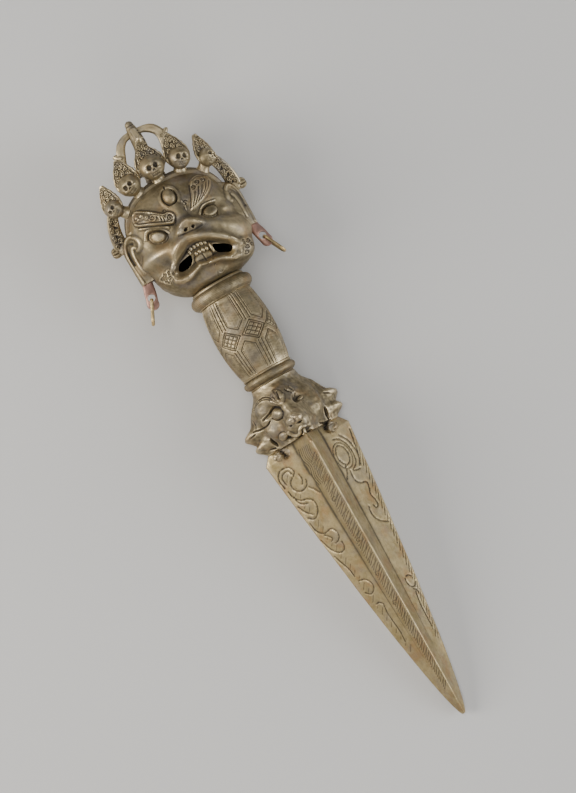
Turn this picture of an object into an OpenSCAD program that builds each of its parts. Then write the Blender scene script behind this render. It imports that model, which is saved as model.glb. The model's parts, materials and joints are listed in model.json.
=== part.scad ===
// A three-vaned ritual dagger, lying on its back as it does when it is put down.
// Its pieces are built upright: +Z runs from the blade's point to the crown, and the face looks to -Y.
// lay() puts them down: +Y from the point to the crown, +Z up out of the face, the floor at Z = 0.

/* [Blade] */
// Height of the shoulders above the point
blade_len = 137; // [110:1:170]
// Reach of a vane from the axis at the shoulders
vane_r = 24.5; // [22:0.5:27]
// Reach of the valleys between the vanes at the shoulders
valley_r = 7.2; // [6:0.1:9]
// Height of the sloping corner above the shoulders
shoulder_h = 4; // [2:0.5:6]
// Reach of a vane at the top of the sloping corner
neck_r = 20.8; // [17:0.1:22]
// Reach of a vane at the blunt point
point_r = 0.8; // [0.6:0.1:1.5]
// Power of the edge's curve, where 1 is a straight taper
edge_power = 0.72; // [0.6:0.01:1]
// Power of the valley's curve
valley_power = 0.5; // [0.4:0.01:0.8]

/* [Tang] */
// Radius of the round tang that strings the pieces together
tang_r = 4.5; // [3.5:0.1:5.5]
// Radial play of the tang in every bore that it passes
tang_play = 0.15; // [0.05:0.01:0.3]
// Radius of the peened end of the tang
peen_r = 6; // [5.8:0.1:7]
// Height of the peened end
peen_h = 1.6; // [1:0.1:3]
// Radius of the washer under the peened end
washer_r = 8.5; // [7.5:0.1:11]
// Thickness of the washer
washer_t = 2; // [1:0.1:3]

/* [Makara socket] */
// Height of the socket, from the blade's neck to the lower ring
socket_h = 27.5; // [24:0.5:32]
// Reach of the socket's body over the vanes, at its widest
socket_lobe_r = 22.2; // [20:0.1:22.3]
// Reach of the socket's body over the valleys, at its widest
socket_waist_r = 12.2; // [11:0.1:12.6]
// Radius of the socket's body under the lower ring
socket_top_r = 10.9; // [9:0.1:12]
// Reach of the snout from the axis
snout_reach = 25; // [24:0.1:27]
// Half width of the snout
snout_r = 2.8; // [2:0.1:3.4]
// Height of the snout above the blade's neck
snout_z = 9; // [7:0.1:11]
// Distance of each bulging eye from the middle
makara_eye_x = 5.7; // [4.5:0.1:7]
// Radius of each bulging eye
makara_eye_r = 2.5; // [2:0.1:3]
// Reach of the side fins from the axis
fin_reach = 24; // [23:0.1:26]
// Angle of the side fins round the axis, from the front
fin_angle = 106; // [100:1:110]
// Radius of the curls at the corners of the mouth
curl_r = 2.8; // [2:0.1:3.4]
// Distance of the curls from the middle
curl_x = 13.2; // [12:0.1:14.5]
// Distance of the curls behind the axis
curl_back = 1.4; // [0.8:0.1:2]

/* [Lower ring] */
// Height of the ring
ring_h = 6; // [4.5:0.1:8]
// Radius of the ring's bead
ring_bead_r = 12.8; // [12:0.1:15]
// Radius of the ring's ends
ring_end_r = 10.9; // [9:0.1:11.8]

/* [Grip] */
// Length of the barrel
grip_len = 36.5; // [28:0.5:50]
// Radius at the lower end
grip_low_r = 11.5; // [10:0.1:12.5]
// Radius at the upper end
grip_top_r = 12; // [10.5:0.1:13]
// Height of the belly over the straight line between the ends
grip_belly = 2.45; // [1:0.05:4]
// Thickness of the hollow barrel's wall
grip_wall = 2.6; // [1.6:0.1:4]

/* [Collar] */
// Height of the collar
collar_h = 7.5; // [6:0.1:10]
// Radius of the collar's bulge
collar_r = 15; // [14:0.1:17]
// Radius of the collar at its ends
collar_end_r = 13.2; // [12:0.1:13.8]

/* [Head] */
// Height from the collar to the widest part of the head
head_down = 28.5; // [26:0.5:32]
// Height from the widest part to the top of the dome
head_up = 25.1; // [23:0.1:28]
// Half width of the head
head_half_w = 24.6; // [23:0.1:27]
// Depth of the face in front of the axis
face_depth = 20.5; // [19:0.1:23]
// Depth of the back of the head behind the axis
back_depth = 20.7; // [19:0.1:23]
// Power of the dome's curve, where 2 is an ellipse
dome_power = 2.5; // [2.2:0.05:3]
// Power of the jaw's curve
jaw_power = 2.8; // [2.4:0.05:3.2]
// Depth of the flat that is worn on the back of the head
rest_cut = 0.6; // [0.4:0.1:1.2]
// Radius of the hollow in the head
hollow_r = 13.5; // [11:0.1:14]
// Thickness of the floor that the washer lies on
floor_t = 6; // [5:0.1:8]
// Height of the hollow's straight part
hollow_h = 25.5; // [18:0.5:27]
// Height of the flat on top of the dome, as a drop from the dome's highest point
dome_drop = 0.9; // [0.6:0.05:1.2]

/* [Face] */
// Distance of each eye from the middle
eye_x = 13.2; // [12:0.1:14.5]
// Height of the eyes above the collar
eye_z = 28.1; // [26:0.1:30]
// Height of the nose above the collar
nose_z = 26.2; // [24:0.1:28]
// How far the nose stands out
nose_out = 5.5; // [3.5:0.1:6.5]
// Height of the third eye above the collar
third_eye_z = 41.2; // [39:0.1:43]
// Height of the mouth above the collar
mouth_z = 11; // [9.5:0.1:12.5]
// Distance of each mouth hole from the middle
mouth_x = 9.5; // [8.5:0.1:10.5]
// Length of a mouth hole
mouth_len = 9.4; // [7:0.1:10]
// Height of a mouth hole
mouth_high = 4.8; // [3.5:0.1:5.5]
// Angle by which the mouth holes slant down to the corners
mouth_slant = 12; // [6:1:18]

/* [Ears] */
// Reach of the ears from the middle
ear_reach = 29.65; // [28.5:0.05:32]
// Height of the ears' top above the head's widest part
ear_up = 9.5; // [8:0.1:11]
// Height from the head's widest part down to the lobes
ear_down = 13.5; // [12:0.1:16]
// Thickness of the ears
ear_t = 5.4; // [4.6:0.1:7]
// Depth of the ears' middle in front of the axis
ear_front = 1.5; // [0:0.1:3]
// Width of the rim that is raised round each ear
ear_rim = 1.3; // [0.8:0.1:2]
// How much narrower each ear is where it meets its lobe
ear_chamfer = 0.2; // [0.1:0.05:0.6]
// Width of the lobe
lobe_w = 5.4; // [4.8:0.1:6.4]
// Length of the lobe
lobe_len = 12; // [11:0.1:16]
// Thickness of the lobe
lobe_t = 2.4; // [1.6:0.1:3.2]
// Angle by which the lobes flare out
lobe_flare = 14; // [6:1:18]
// Radius of the hole in the lobe
lobe_hole_r = 1.7; // [1.4:0.05:1.9]
// Distance of the hole from the top of the lobe
lobe_hole_drop = 6.5; // [5:0.1:7.5]

/* [Earrings] */
// Radius of the wire
wire_r = 0.75; // [0.5:0.05:0.9]
// Play between the wire and what it passes
wire_play = 0.3; // [0.2:0.05:0.5]
// Gap between the bar and the wall of the hole that it hangs on
bar_gap = 0.05; // [0.02:0.01:0.1]
// Length of the loop from the hole to its far end
loop_len = 12.5; // [11:0.1:16]
// Angle by which the loops lie outward from the dagger's axis
loop_rest = 26; // [15:1:35]

/* [Crown] */
// Angle by which the crown leans forward
crown_lean = 27; // [20:1:30]
// Width of the band
band_w = 4.5; // [3.5:0.1:6]
// How far the band stands out of the head
band_proud = 0.9; // [0.5:0.1:1.6]
// How deep the band is let into the head
band_seat = 1.6; // [1.2:0.1:2.2]
// Height above the head's widest part at which the band ends
band_end = 9; // [7:0.1:11]
// Skull radius of the plaques, from the middle one outward
skull_r = [5.6, 5, 4.3];
// Distance of the skulls from the crown's centre, from the middle one outward
skull_reach = [33, 33.2, 34.2];
// Angle of the skulls along the crown, from the middle one outward
skull_angle = [0, 22.5, 44.2];
// How far each plaque is turned to the side, from the middle one outward
plaque_turn = [0, 16, 48];
// Height of the leaves above the skulls, from the middle one outward
leaf_h = [13, 12.4, 11.2];
// Thickness of the leaves
leaf_t = 2; // [1.2:0.1:3]
// Gap between the middle plaque and the finial behind it
finial_gap = 0.15; // [0.05:0.05:0.4]
// Gap between a side leaf's tip and the outer skull
leaf_gap = 0.1; // [0:0.05:0.3]
// Width of the side leaves
side_leaf_w = 4.4; // [3:0.1:5.5]
// Distance of the side leaves' outer edge from the middle
side_leaf_reach = 31.3; // [30.5:0.1:33]
// Radius of the rosettes
rosette_r = 2.3; // [1.8:0.1:2.6]
// How far the rosettes stand out of the ears
rosette_out = 4.4; // [3:0.1:6]
// Height of the rosettes above the head's widest part
rosette_z = 5.3; // [3:0.1:6]

/* [Finial] */
// Radius of the spigot that closes the head
plug_r = 5.5; // [4.8:0.1:6]
// Length of the spigot
plug_h = 4; // [3:0.1:6]
// Height of the topknot above the dome's flat
knot_h = 3.8; // [3:0.1:6]
// Radius of the topknot
knot_r = 4.8; // [4:0.1:5.2]
// Radius of the finial's stem
stem_r = 2.4; // [1.8:0.1:3]
// Length of the stem in the topknot
stem_h = 6; // [4:0.1:8]
// Play of the spigot and of the stem
plug_play = 0.1; // [0.05:0.01:0.2]
// Height of the finial's hub
hub_h = 2.4; // [2:0.1:6]
// Radius of the plate that carries the prongs
plate_r = 8.6; // [7.5:0.1:9.5]
// Thickness of that plate
plate_t = 2; // [1.5:0.1:3.5]
// Height of the prongs above the plate
prong_h = 17.4; // [14:0.1:22]
// Height on the prongs at which the spurs stand, as an angle of the arch
spur_angle = 32; // [26:1:45]
// Reach of the prongs from the axis
prong_reach = 12.8; // [11.5:0.1:13]
// Width of the prongs at their sides
prong_side = 4; // [3:0.1:4.8]
// Width of the prongs at the top of the arch
prong_top = 2.2; // [1.6:0.1:3]
// Thickness of the prongs
prong_t = 3.2; // [2.4:0.1:4]
// Radius of the middle spike at its foot
spike_r = 3.1; // [2.6:0.1:3.6]
// Radius of the middle spike's round tip
spike_tip_r = 1.9; // [1.4:0.1:2.2]
// Height of the spike above the arch
spike_over = 4.7; // [3:0.1:8]

/* [Hidden] */
$fn = 48;

// Far enough past any face for a cut to come out clean
past = 1;

// Heights along the axis, each on top of the one before
z_neck = blade_len + shoulder_h;
z_ring = z_neck + socket_h;
z_grip = z_ring + ring_h;
z_collar = z_grip + grip_len;
z_head = z_collar + collar_h;
z_mid = z_head + head_down;
z_dome = z_mid + head_up;
z_flat = z_dome - dome_drop;
z_knot = z_flat + knot_h;
z_plate = z_knot + hub_h;
z_prong = z_plate + plate_t;
z_arch = z_prong + prong_h;
z_top = z_arch + spike_over;

// Heights of the blade's sections, closer together towards the point
blade_steps = 12;
blade_heights = [for (i = [0:blade_steps]) blade_len * pow(i / blade_steps, 1.5)];

// The dagger lies on the head's back and on the lowest stretch of the two rear vanes' edges
rest_depth = back_depth - rest_cut;
lie_tilt = min([for (z = blade_heights) atan((rest_depth - vane_at(z) * cos(60)) / (z_mid - z))]);
lay_y = -z_top * cos(lie_tilt) / 2;
lay_z = rest_depth * cos(lie_tilt) - z_mid * sin(lie_tilt);

// Bores and fits
bore_r = tang_r + tang_play;
z_washer = z_head + floor_t;
z_peen = z_washer + washer_t;

// The hole in each lobe, which is the earring's hinge
z_lobe = z_mid - ear_down;
lobe_x = ear_reach - ear_chamfer - lobe_w / 2;
hole_x = lobe_x + lobe_hole_drop * sin(lobe_flare);
hole_z = z_lobe - lobe_hole_drop * cos(lobe_flare);

// The crown's tilted plane cuts the dome in a superellipse of this height
band_rise = 1 / pow(
    pow(cos(crown_lean) / head_up, dome_power) + pow(sin(crown_lean) / face_depth, dome_power),
    1 / dome_power
);

module lay() {
    translate([0, lay_y, lay_z]) rotate([lie_tilt - 90, 0, 0]) children();
}

module below_floor() {
    side = 4 * z_top;
    translate([-side / 2, -side / 2, -side]) cube([side, side, side]);
}

// The left copy of anything that is drawn on the right
module on_side(side) {
    if (side > 0) children();
    else mirror([1, 0, 0]) children();
}

// Draws an outline of x and z in the upright plane and gives it depth along Y, centred
module upright(depth) {
    rotate([90, 0, 0]) linear_extrude(depth, center = true) children();
}

// A point at a radius and an angle round the axis, where 0 is the front
function around(r, a) = [r * sin(a), -r * cos(a)];

// Height of a superellipse's quarter over its base, for t from -1 to 1
function rise(t, power) = pow(max(0, 1 - pow(abs(t), power)), 1 / power);

function signed_pow(v, power) = sign(v) * pow(abs(v), power);

// A closed superellipse
function loop_points(rx, rz, power, steps) = [
    for (i = [0:steps - 1])
        let (a = 360 * i / steps)
        [rx * signed_pow(cos(a), 2 / power), rz * signed_pow(sin(a), 2 / power)]
];

// Points of an arc in the plane of a profile
function arc(cx, cz, r, from, to, steps) = [
    for (i = [0:steps])
        let (a = from + (to - from) * i / steps)
        [cx + r * cos(a), cz + r * sin(a)]
];

// Height of one hill at a point, where the power makes its foot steeper.
// A hill is [centre], [half length, half height], height out, angle.
hill_power = 1.3;
function hill_at(p, hill) =
    let (
        dx = p[0] - hill[0][0],
        dz = p[1] - hill[0][1],
        along = (dx * cos(hill[3]) + dz * sin(hill[3])) / hill[1][0],
        across = (dz * cos(hill[3]) - dx * sin(hill[3])) / hill[1][1]
    )
    hill[2] * exp(-pow(along * along + across * across, hill_power));

// The product with a row of ones adds the hills up
function hills_at(hills, p) = [for (hill = hills) hill_at(p, hill)] * [for (hill = hills) 1];

// Triangles of a tube of rings with flat ends, each ring a list of the same length
function tube_faces(rings, sides) = concat(
    [[for (j = [0:sides - 1]) j]],
    [[for (j = [sides - 1:-1:0]) (rings - 1) * sides + j]],
    [for (i = [0:rings - 2]) for (j = [0:sides - 1])
        [i * sides + j, (i + 1) * sides + j, (i + 1) * sides + (j + 1) % sides]],
    [for (i = [0:rings - 2]) for (j = [0:sides - 1])
        [i * sides + j, (i + 1) * sides + (j + 1) % sides, i * sides + (j + 1) % sides]]
);

// Blade

function vane_at(z) = point_r + (vane_r - point_r) * pow(z / blade_len, edge_power);
function valley_at(z) = min(0.47 * vane_at(z), 0.4 * point_r + valley_r * pow(z / blade_len, valley_power));
function star(vane, valley, z) = [
    for (k = [0:5])
        let (p = around(k % 2 == 0 ? vane : valley, 60 * k))
        [p[0], p[1], z]
];

module blade_star() {
    rings = concat(
        [for (z = blade_heights) star(vane_at(z), valley_at(z), z)],
        [star(neck_r, valley_r, z_neck)]
    );
    polyhedron([for (ring = rings) for (p = ring) p], tube_faces(len(rings), 6));
}

module blade() {
    color("#b8a274") lay() {
        blade_star();
        translate([0, 0, z_neck - past]) cylinder(r = tang_r, h = z_peen - z_neck + 2 * past);
        translate([0, 0, z_peen]) cylinder(r = peen_r, h = peen_h);
    }
}

module tang_bore(from, to) {
    translate([0, 0, from - past]) cylinder(r = bore_r, h = to - from + 2 * past);
}

// Makara socket

// Share of the widest reach that the body has at a share of its height
function lobe_share(t) = 0.9 + 0.1 * sin(90 * min(1, t / 0.3)) - 0.52 * pow(max(0, t - 0.34) / 0.66, 1.4);
function waist_share(t) = 0.84 + 0.16 * sin(90 * min(1, t / 0.35)) - 0.25 * pow(max(0, t - 0.45) / 0.55, 1.5);

// Share by which the body has turned into the round end under the ring
function ring_share(h) = pow(max(0, h) / socket_h, 6);

// Reach of the plain body, which has a lobe over each vane, at a height above the neck and an angle
lobe_power = 3;
function body_reach(h, a) =
    let (
        t = max(0, h) / socket_h,
        lobe = max(socket_top_r, socket_lobe_r * lobe_share(t)),
        waist = max(socket_top_r, socket_waist_r * waist_share(t)),
        full = waist + (lobe - waist) * pow((1 + cos(3 * a)) / 2, lobe_power)
    )
    full * (1 - ring_share(h)) + socket_top_r * ring_share(h);

// Distances round the socket are measured as arcs at this radius
arc_r = 18;
function arc_of(a) = abs(a) * PI * arc_r / 180;

eye_h = 0.52 * socket_h;
eye_arc = arc_of(asin(makara_eye_x / (socket_lobe_r - 2.8)));
upper_fin_h = 0.38 * socket_h;
lower_fin_h = 0.15 * socket_h;
function fin_out(h) = fin_reach - body_reach(h, fin_angle);

// Hills of the makara's face: [arc from the front, height above the neck], [half arc, half height], out, angle
socket_hills = [
    [[0, snout_z], [snout_r + 0.6, snout_r + 0.8], snout_reach - socket_lobe_r, 0],       // snout
    [[2.6, snout_z - 0.6], [1.8, 2.0], 2.0, 0],                                            // nostrils
    [[0, 20], [2.6, 4.4], 1.6, 0],                                                         // forehead
    [[eye_arc, eye_h], [makara_eye_r + 1.4, makara_eye_r + 1.2], -1.2, 0],                 // eye sockets
    [[eye_arc, eye_h], [makara_eye_r, makara_eye_r], makara_eye_r + 1.6, 0],               // eyeballs
    [[8, 20], [5.2, 2.0], 2.4, -18],                                                       // brows
    [[18, 15], [6.0, 4.2], 4.2, 0],                                                        // cheeks
    [[17, 7.6], [6.4, 2.8], 5.0, 20],                                                      // jowls
    [[7, 4.6], [5.6, 1.7], 2.8, -14],                                                      // lips
    [[8, 1.0], [4.0, 1.6], -1.6, 0],                                                       // mouth
    [[arc_of(fin_angle), upper_fin_h], [4.2, 1.9], fin_out(upper_fin_h), -24],             // upper fins
    [[arc_of(fin_angle), lower_fin_h], [3.6, 1.5], fin_out(lower_fin_h) - 1.6, -24],       // lower fins
    [[arc_of(fin_angle) - 2.6, 18], [4.6, 4.6], 2.6, 0]                                    // ears
];

// The curls lie on the front faces of the rear vanes, below the neck
curl_sunk = 0.4;
curl_arc = arc_of(atan2(curl_x, -curl_back));
function curl_reach(h, a) =
    let (
        along = (arc_of(a) - curl_arc) / (1.3 * curl_r),
        up = (h + curl_r - curl_sunk) / curl_r
    )
    core_r() + (curl_x + curl_r - core_r()) * exp(-pow(along * along + up * up, 1.5));

// Reach of the core that lies inside the blade, between its valleys
function core_r() = 0.7 * valley_r;

// Angle from the front, from -180 to 180
function from_front(a) = a > 180 ? a - 360 : a;

function socket_reach(h, a) =
    let (relief = hills_at(socket_hills, [arc_of(a), h]) * (1 - ring_share(h)))
    max(h < 0 ? core_r() : body_reach(h, a) + relief, curl_reach(h, a));

// The rings go on below the neck, where only the curls stand out of the blade
module makara_mass() {
    sides = 72;
    steps = 24;
    drop = 2 * curl_r;
    below = 5;
    heights = concat(
        [for (i = [below:-1:1]) -drop * i / below],
        [for (i = [0:steps]) socket_h * i / steps]
    );
    polyhedron(
        [for (h = heights) for (j = [0:sides - 1])
            let (a = 360 * j / sides, p = around(socket_reach(h, from_front(a)), a))
            [p[0], p[1], z_neck + h]],
        tube_faces(len(heights), sides)
    );
}

module makara_socket() {
    color("#a8987a") lay() difference() {
        makara_mass();
        blade_star();
        tang_bore(z_neck, z_ring);
    }
}

// Lower ring, grip and collar

module lower_ring() {
    bead = 0.29 * ring_h;
    color("#b5a586") lay() difference() {
        rotate_extrude() polygon(concat(
            [[0, z_ring], [ring_end_r, z_ring]],
            [[ring_end_r - 0.3, z_ring + 0.12 * ring_h]],
            arc(ring_bead_r - bead, z_ring + 0.5 * ring_h, bead, -80, 80, 8),
            [[grip_low_r + 0.3, z_grip - 0.1 * ring_h]],
            [[grip_low_r, z_grip], [0, z_grip]]
        ));
        tang_bore(z_ring, z_grip);
    }
}

// Outer radius of the barrel at a share of its length
function grip_at(t) = grip_low_r + (grip_top_r - grip_low_r) * t + grip_belly * pow(sin(180 * t), 0.8);

module grip() {
    steps = 20;
    web = 4;
    inner = (web / grip_len) * steps;
    color("#b3a27c") lay() rotate_extrude() polygon(concat(
        [for (i = [0:steps]) [grip_at(i / steps), z_grip + grip_len * i / steps]],
        [[bore_r, z_collar], [bore_r, z_collar - web]],
        [for (i = [steps - ceil(inner):-1:ceil(inner)])
            [grip_at(i / steps) - grip_wall, z_grip + grip_len * i / steps]],
        [[bore_r, z_grip + web], [bore_r, z_grip]]
    ));
}

module upper_collar() {
    bulge = 0.41 * collar_h;
    turned_from = -60;
    turned_to = 66;
    color("#b5a586") lay() difference() {
        rotate_extrude() polygon(concat(
            [[0, z_collar], [collar_end_r, z_collar]],
            arc(collar_r - bulge, z_collar + bulge + 0.2, bulge, turned_from, turned_to, 10),
            [[collar_end_r - 0.6, z_head - 0.8], [collar_end_r - 0.9, z_head], [0, z_head]]
        ));
        tang_bore(z_collar, z_head);
    }
}

module tang_washer() {
    color("#8a7a58") lay() difference() {
        translate([0, 0, z_washer]) cylinder(r = washer_r, h = washer_t);
        tang_bore(z_washer, z_peen);
    }
}

// Head

// The jaw's curve ends in a flat neck where it meets the collar
neck_share = 0.963;
function head_share(z) = z > z_mid ? (z - z_mid) / head_up : neck_share * (z_mid - z) / head_down;
function head_power(z) = z > z_mid ? dome_power : jaw_power;
function head_size(z) = rise(head_share(z), head_power(z));

// Hills of the face: [x, height above the collar], [half length, half height], height out, angle
face_hills = [
    [[0, nose_z], [4.2, 4.0], nose_out, 0],                 // bulb of the nose
    [[3.6, nose_z - 1.4], [2.6, 2.6], 2.0, 0],              // wings of the nose
    [[0, nose_z + 6], [3, 4.5], 1.8, 0],                    // bridge of the nose
    [[eye_x - 1.2, eye_z + 8.6], [9, 2.6], 2.2, 30],        // brows
    [[eye_x, eye_z], [5.6, 4.0], -2.2, 0],                  // eye sockets
    [[eye_x, eye_z], [3.0, 2.2], 3.4, 0],                   // eyeballs
    [[eye_x + 1.8, eye_z - 8.8], [6.4, 4.2], 2.2, 0],       // cheeks
    [[0, mouth_z + 9], [8, 2.4], 1.8, 0],                   // upper lip
    [[0, mouth_z + 1], [13, 4.2], -2.6, 0],                 // mouth
    [[0, mouth_z - 4.8], [12, 2.0], 2.0, 0],                // lower lip
    [[0, mouth_z - 8], [7, 3.0], 1.2, 0],                   // chin
    [[0, third_eye_z], [2.8, 3.2], 1.8, 0]                  // third eye
];

// Power that squares the head seen from above, where 1 is an ellipse
plan_power = 0.87;
// Share of the front over which the relief fades out to the sides
relief_fade = 0.62;
function head_point(z, a) =
    let (
        size = head_size(z),
        x = head_half_w * size * signed_pow(sin(a), plan_power),
        depth = (cos(a) > 0 ? face_depth : back_depth) * size * signed_pow(cos(a), plan_power),
        front = min(1, max(0, cos(a)) / relief_fade)
    )
    [x, -depth - front * hills_at(face_hills, [abs(x), z - z_head]), z];

module head_mass() {
    sides = 56;
    rings = 34;
    crowding = 30;
    low = asin(-neck_share);
    high = asin(1 - dome_drop / head_up);
    heights = [
        for (i = [0:rings])
            let (a = low + (high - low) * i / rings)
            a > 0 ? z_mid + head_up * sin(a) : z_mid + head_down * sin(a) / neck_share
    ];
    // The columns stand closer together across the face
    columns = [for (j = [0:sides - 1]) 360 * j / sides - crowding * sin(360 * j / sides)];
    polyhedron([for (z = heights) for (a = columns) head_point(z, a)], tube_faces(len(heights), sides));
}

// How deep the ear's root lies in the head, and the power of its curved edge
ear_root = 3;
ear_power = 0.8;

// Half an ear's outline, which ends flat on top of the lobe
function ear_outline(inset) =
    let (
        inner = head_half_w - ear_root,
        reach = ear_reach - inset,
        foot = z_lobe + inset
    )
    concat(
        [[inner, foot], [reach - ear_chamfer, foot]],
        [for (i = [0:10]) let (a = 9 * i) [
            inner + (reach - inner) * pow(cos(a), ear_power),
            z_mid + (ear_up - inset) * pow(sin(a), ear_power)
        ]]
    );

module ear_plate() {
    translate([0, -ear_front, 0]) upright(ear_t) polygon(ear_outline(0));
}

// The raised rim is what a shallow pocket leaves standing
module ear() {
    pocket = 1.2;
    difference() {
        ear_plate();
        translate([0, -ear_front - ear_t / 2, 0]) upright(2 * pocket) polygon(ear_outline(ear_rim));
    }
}

// Each mouth hole is a lens, whose two arcs are tied to its length and height
module mouth_hole() {
    lens_r = (mouth_len * mouth_len / 4 + mouth_high * mouth_high / 4) / mouth_high;
    wall = face_depth - hollow_r;
    depth = 4 * wall;
    translate([mouth_x, -face_depth, z_head + mouth_z]) rotate([0, mouth_slant, 0]) upright(depth)
        intersection() {
            translate([0, mouth_high / 2 - lens_r]) circle(lens_r);
            translate([0, lens_r - mouth_high / 2]) circle(lens_r);
        }
}

module head_hollow() {
    translate([0, 0, z_washer]) cylinder(r = hollow_r, h = hollow_h);
    translate([0, 0, z_washer + hollow_h]) sphere(hollow_r);
    translate([0, 0, z_washer + hollow_h]) cylinder(r = plug_r + plug_play, h = z_top - z_washer);
}

module head_shell() {
    band_clear = band_proud + 4;
    color("#b09c72") difference() {
        lay() difference() {
            union() {
                head_mass();
                for (side = [-1, 1]) on_side(side) ear();
            }
            head_hollow();
            for (side = [-1, 1]) on_side(side) mouth_hole();
            band_ring(-band_seat, band_clear);
            tang_bore(z_head, z_washer);
        }
        below_floor();
    }
}

// Topknot cap, with a spigot that closes the head and a bore for the finial's stem

module topknot_cap() {
    flange_r = plug_r + 1;
    flange_h = 0.8;
    neck_h = 1.2;
    bevel = 0.4;
    color("#a08c62") lay() difference() {
        rotate_extrude() polygon(concat(
            [[0, z_flat - plug_h], [plug_r, z_flat - plug_h], [plug_r, z_flat]],
            [[flange_r, z_flat], [flange_r, z_flat + flange_h], [knot_r - bevel, z_flat + neck_h]],
            [[knot_r, z_flat + 0.55 * knot_h], [knot_r - bevel, z_knot], [0, z_knot]]
        ));
        translate([0, 0, z_knot - stem_h]) cylinder(r = stem_r + plug_play, h = stem_h + past);
    }
}

// Crown

module in_crown() {
    translate([0, 0, z_mid]) rotate([crown_lean, 0, 0]) children();
}

function band_outline(offset) =
    loop_points(head_half_w + offset, band_rise + offset, dome_power, 64);

// The band's arch between two offsets from the head, down to where it ends above the ears
module band_ring(inner, outer) {
    span = 3 * ear_reach;
    in_crown() intersection() {
        upright(band_w) difference() {
            polygon(band_outline(outer));
            polygon(band_outline(inner));
        }
        translate([-span / 2, -span / 2, band_end]) cube([span, span, span]);
    }
}

module crown_band() {
    color("#a3906a") lay() band_ring(-band_seat, band_proud);
}

// How far the band's outer face is from the crown's centre at an angle
function band_reach(a) = 1 / pow(
    pow(abs(sin(a)) / (head_half_w + band_proud), dome_power)
    + pow(cos(a) / (band_rise + band_proud), dome_power),
    1 / dome_power
);

// A leaf-shaped outline that stands on the skull's middle
function leaf_outline(half_w, high) = concat(
    [[-0.6 * half_w, -0.75 * half_w], [0.6 * half_w, -0.75 * half_w]],
    [for (i = [0:9]) [leaf_at(half_w, i / 10), high * i / 10]],
    [[0.7, high], [-0.7, high]],
    [for (i = [9:-1:0]) [-leaf_at(half_w, i / 10), high * i / 10]]
);

// Half width of a leaf at a share of its height: full round the skull, then an ogee to the tip
function leaf_at(half_w, t) = 0.8 + (half_w - 0.8) * (t < 0.3 ? 1 : pow(cos(90 * (t - 0.3) / 0.7), 1.5));

module skull(r) {
    difference() {
        union() {
            sphere(r);
            translate([0, -0.12 * r, -0.6 * r]) sphere(0.56 * r);
        }
        translate([-2 * r, 0.42 * r, -2 * r]) cube([4 * r, 2 * r, 4 * r]);
        for (side = [-1, 1]) {
            translate([side * 0.32 * r, -0.5 * r, 0.02 * r]) rotate([90, 0, 0]) cylinder(r = 0.17 * r, h = r);
        }
    }
}

module at_skull(i, side) {
    in_crown() rotate([0, side * skull_angle[i], 0]) translate([0, 0, skull_reach[i]])
        rotate([0, -side * skull_angle[i], 0]) rotate([-crown_lean, 0, 0]) children();
}

// The round space that the finial's prongs stand in, which the plaques keep clear of
module finial_room() {
    translate([0, 0, z_plate - plate_t]) cylinder(r = prong_reach + finial_gap, h = z_top - z_plate);
}

// The foot runs from the skull to the band, where the band's own outline cuts it
module plaque_foot(i, side) {
    foot_r = 0.42 * skull_r[i];
    seat = band_reach(skull_angle[i]) - past;
    in_crown() rotate([0, side * skull_angle[i], 0]) translate([0, 0, seat])
        cylinder(r = min(foot_r, band_w / 2), h = skull_reach[i] - seat);
}

module skull_plaque(i, side) {
    r = skull_r[i];
    color("#a89878") lay() difference() {
        union() {
            at_skull(i, side) rotate([0, 0, side * plaque_turn[i]]) {
                rotate([0, side * 0.8 * skull_angle[i], 0]) skull(r);
                translate([0, 0.42 * r - leaf_t / 2, 0]) upright(leaf_t)
                    polygon(leaf_outline(1.06 * r, leaf_h[i]));
            }
            plaque_foot(i, side);
        }
        in_crown() upright(2 * band_w) polygon(band_outline(band_proud));
        finial_room();
    }
}

// A crescent from the ear's top to the outer plaque, whose edges lean in by the same curve
module side_leaf() {
    steps = 10;
    foot = rosette_z + 1.6;
    high = skull_reach[2] * cos(skull_angle[2]) - foot;
    lean = 5.2;
    lean_power = 2.2;
    narrowing = 0.35;
    outer = [for (i = [0:steps]) let (t = i / steps)
        [side_leaf_reach - lean * pow(t, lean_power), foot + high * t]];
    inner = [for (i = [steps:-1:0]) let (t = i / steps)
        [side_leaf_reach - lean * pow(t, lean_power) - side_leaf_w * (1 - narrowing * t), foot + high * t]];
    difference() {
        in_crown() upright(leaf_t) polygon(concat(outer, inner));
        ear_plate();
        rosette_bar(0);
        at_skull(2, 1) sphere(skull_r[2] + leaf_gap);
    }
}

module side_leaf_on(side) {
    color("#a89878") lay() on_side(side) side_leaf();
}

// A ribbed bar that stands out of the ear's edge
module rosette_bar(ribs) {
    from = head_half_w + 1;
    to = ear_reach + rosette_out;
    groove = 0.35;
    bevel = 1;
    translate([0, -ear_front, z_mid + rosette_z]) rotate([0, 90, 0]) rotate_extrude() polygon(concat(
        [[0, from], [rosette_r, from]],
        [for (k = [0:2 * ribs])
            [rosette_r - (k % 2) * groove, ear_reach + (rosette_out - bevel) * k / (2 * ribs + 1)]],
        [[rosette_r, to - bevel], [0.6 * rosette_r, to], [0, to]]
    ));
}

module rosette_on(side) {
    color("#b5a586") lay() on_side(side) difference() {
        rosette_bar(3);
        ear_plate();
    }
}

// Half-vajra finial: a hub, a plate, a middle spike and four prongs that arch in to the spike

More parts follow.
